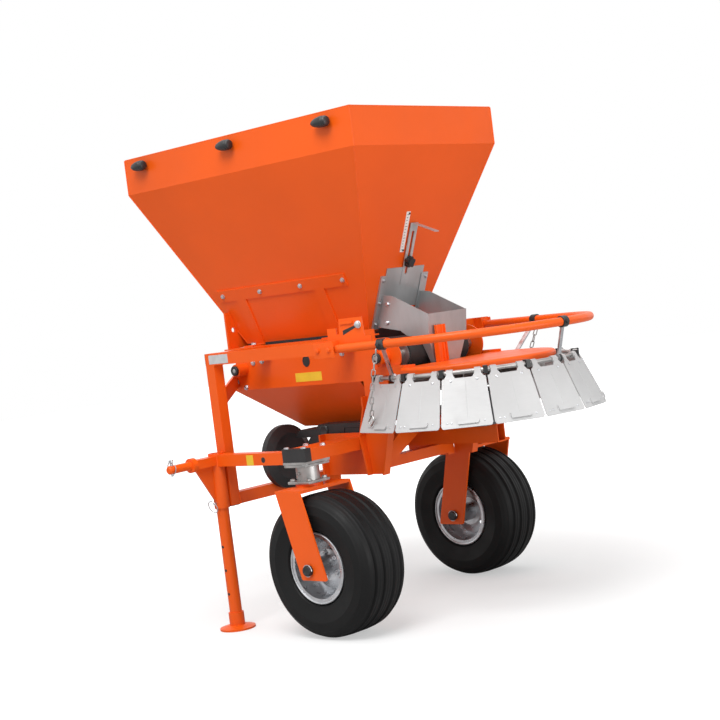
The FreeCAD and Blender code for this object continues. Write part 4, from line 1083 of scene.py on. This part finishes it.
def welds():
    """Visible fillet welds on the frame."""
    weld_bead("weld_post", at(367, 418, 886), at(367, 460, 886))
    weld_bead("weld_brace", at(367, 418, 452), at(367, 418, 412))
    weld_bead("weld_collar", at(408, 585, 560), at(368, 585, 560))
    weld_bead("weld_rail", at(50, 459, 591), at(50, 499, 591))


# ---- stage, light and camera --------------------------------------------------------------------


def stage():
    """A wide pale floor."""
    mesh = bpy.data.meshes.new("floor")
    half = 14.0
    corners = [(-half, -half, 0), (half, -half, 0), (half, half, 0), (-half, half, 0)]
    mesh.from_pydata(corners, [], [(0, 1, 2, 3)])
    mesh.materials.append(floor_finish())
    floor = bpy.data.objects.new("floor", mesh)
    floor.location.z = -0.0005
    bpy.context.scene.collection.objects.link(floor)


def world():
    """Soft white surroundings: brighter to the camera and in reflections than as a light."""
    made = bpy.data.worlds.new("studio")
    made.use_nodes = True
    tree = made.node_tree
    background = tree.nodes["Background"]
    background.inputs["Color"].default_value = (1, 1, 1, 1)
    path = tree.nodes.new("ShaderNodeLightPath")
    seen = path.outputs["Is Camera Ray"]
    for kind in ("Is Transmission Ray", "Is Glossy Ray"):
        total = tree.nodes.new("ShaderNodeMath")
        total.operation = "MAXIMUM"
        tree.links.new(seen, total.inputs[0])
        tree.links.new(path.outputs[kind], total.inputs[1])
        seen = total.outputs["Value"]
    scale = tree.nodes.new("ShaderNodeMapRange")
    scale.inputs["To Min"].default_value = 0.52
    scale.inputs["To Max"].default_value = 1.0
    tree.links.new(seen, scale.inputs["Value"])
    tree.links.new(scale.outputs["Result"], background.inputs["Strength"])
    bpy.context.scene.world = made


def lamp(name, place, target, size, power):
    """A large soft area lamp aimed at a point."""
    data = bpy.data.lights.new(name, "AREA")
    data.shape = "RECTANGLE"
    data.size, data.size_y = size
    data.energy = power
    thing = bpy.data.objects.new(name, data)
    thing.location = place
    thing.rotation_euler = (Vector(target) - Vector(place)).to_track_quat("-Z", "Y").to_euler()
    bpy.context.scene.collection.objects.link(thing)


def lights():
    lamp("key", (-1.5, 3.2, 5.2), (0, 0, 1.0), (3.4, 2.6), 235)
    lamp("rear_fill", (-4.4, 0.0, 0.9), (-0.2, 0, 1.1), (2.6, 1.4), 58)
    lamp("side_fill", (0.6, 4.6, 2.6), (0, 0.2, 0.9), (3.0, 2.0), 14)
    lamp("top", (0.2, 0.0, 5.6), (0, 0, 1.0), (3.6, 3.6), 80)


CAMERA_PLACE = at(-3398.2, 3781.8, 1045.7)
CAMERA_YAW, CAMERA_PITCH, CAMERA_ROLL = -46.99, -2.317, -7.216
CAMERA_LENS = 74.77


def camera():
    """Seen from the rear left, at the height of the hopper's sloped walls, with a slight roll."""
    yaw, pitch, roll = (math.radians(v) for v in (CAMERA_YAW, CAMERA_PITCH, CAMERA_ROLL))
    ahead = Vector((math.cos(pitch) * math.cos(yaw), math.cos(pitch) * math.sin(yaw), math.sin(pitch)))
    level = ahead.cross(UP).normalized()
    top = level.cross(ahead)
    right = level * math.cos(roll) + top * math.sin(roll)
    up = top * math.cos(roll) - level * math.sin(roll)
    data = bpy.data.cameras.new("camera")
    data.sensor_width = 36.0
    data.lens = CAMERA_LENS
    data.clip_end = 60.0
    thing = bpy.data.objects.new("camera", data)
    rotation = Matrix((right, up, -ahead)).transposed().to_4x4()
    thing.matrix_world = Matrix.Translation(CAMERA_PLACE) @ rotation
    bpy.context.scene.collection.objects.link(thing)
    bpy.context.scene.camera = thing


# ---- assembly -----------------------------------------------------------------------------------


def trim():
    """Every piece that the frame leaves to the visual model."""
    tarp_hooks()
    rim_roll()
    hopper_seams()
    cradle_bolts()
    blank_plates()
    side_slot()
    for side, sign in (("left", 1), ("right", -1)):
        wheel_trim(side, sign)
        axle_caps(side)
    hub_bolts()
    hub_plates()
    grease_nipples()
    lynch_pins()
    jack_pin()
    jack_hole_shade()
    bearing_rings()
    trough_bolts()
    guide_bolts()
    scale_strip()
    scale_marks()
    chute_screws()
    prop_top()
    bow_brackets()
    bow_hinge()
    bow_clamps()
    rod_sleeves()
    rail_caps()
    rail_hole_shade()
    input_splines()
    cover_hood()
    gearbox_trim()
    welds()
    for index in range(1, FLAP_COUNT + 1):
        flap_trim(index)
    flap_chain("chain_left", CLAMP_ANGLES[0], 1)
    flap_chain("chain_right", CLAMP_ANGLES[-1], FLAP_COUNT)


paint_nodes()
trim()
stage()
world()
lights()
camera()
bpy.context.scene.view_settings.view_transform = "Standard"
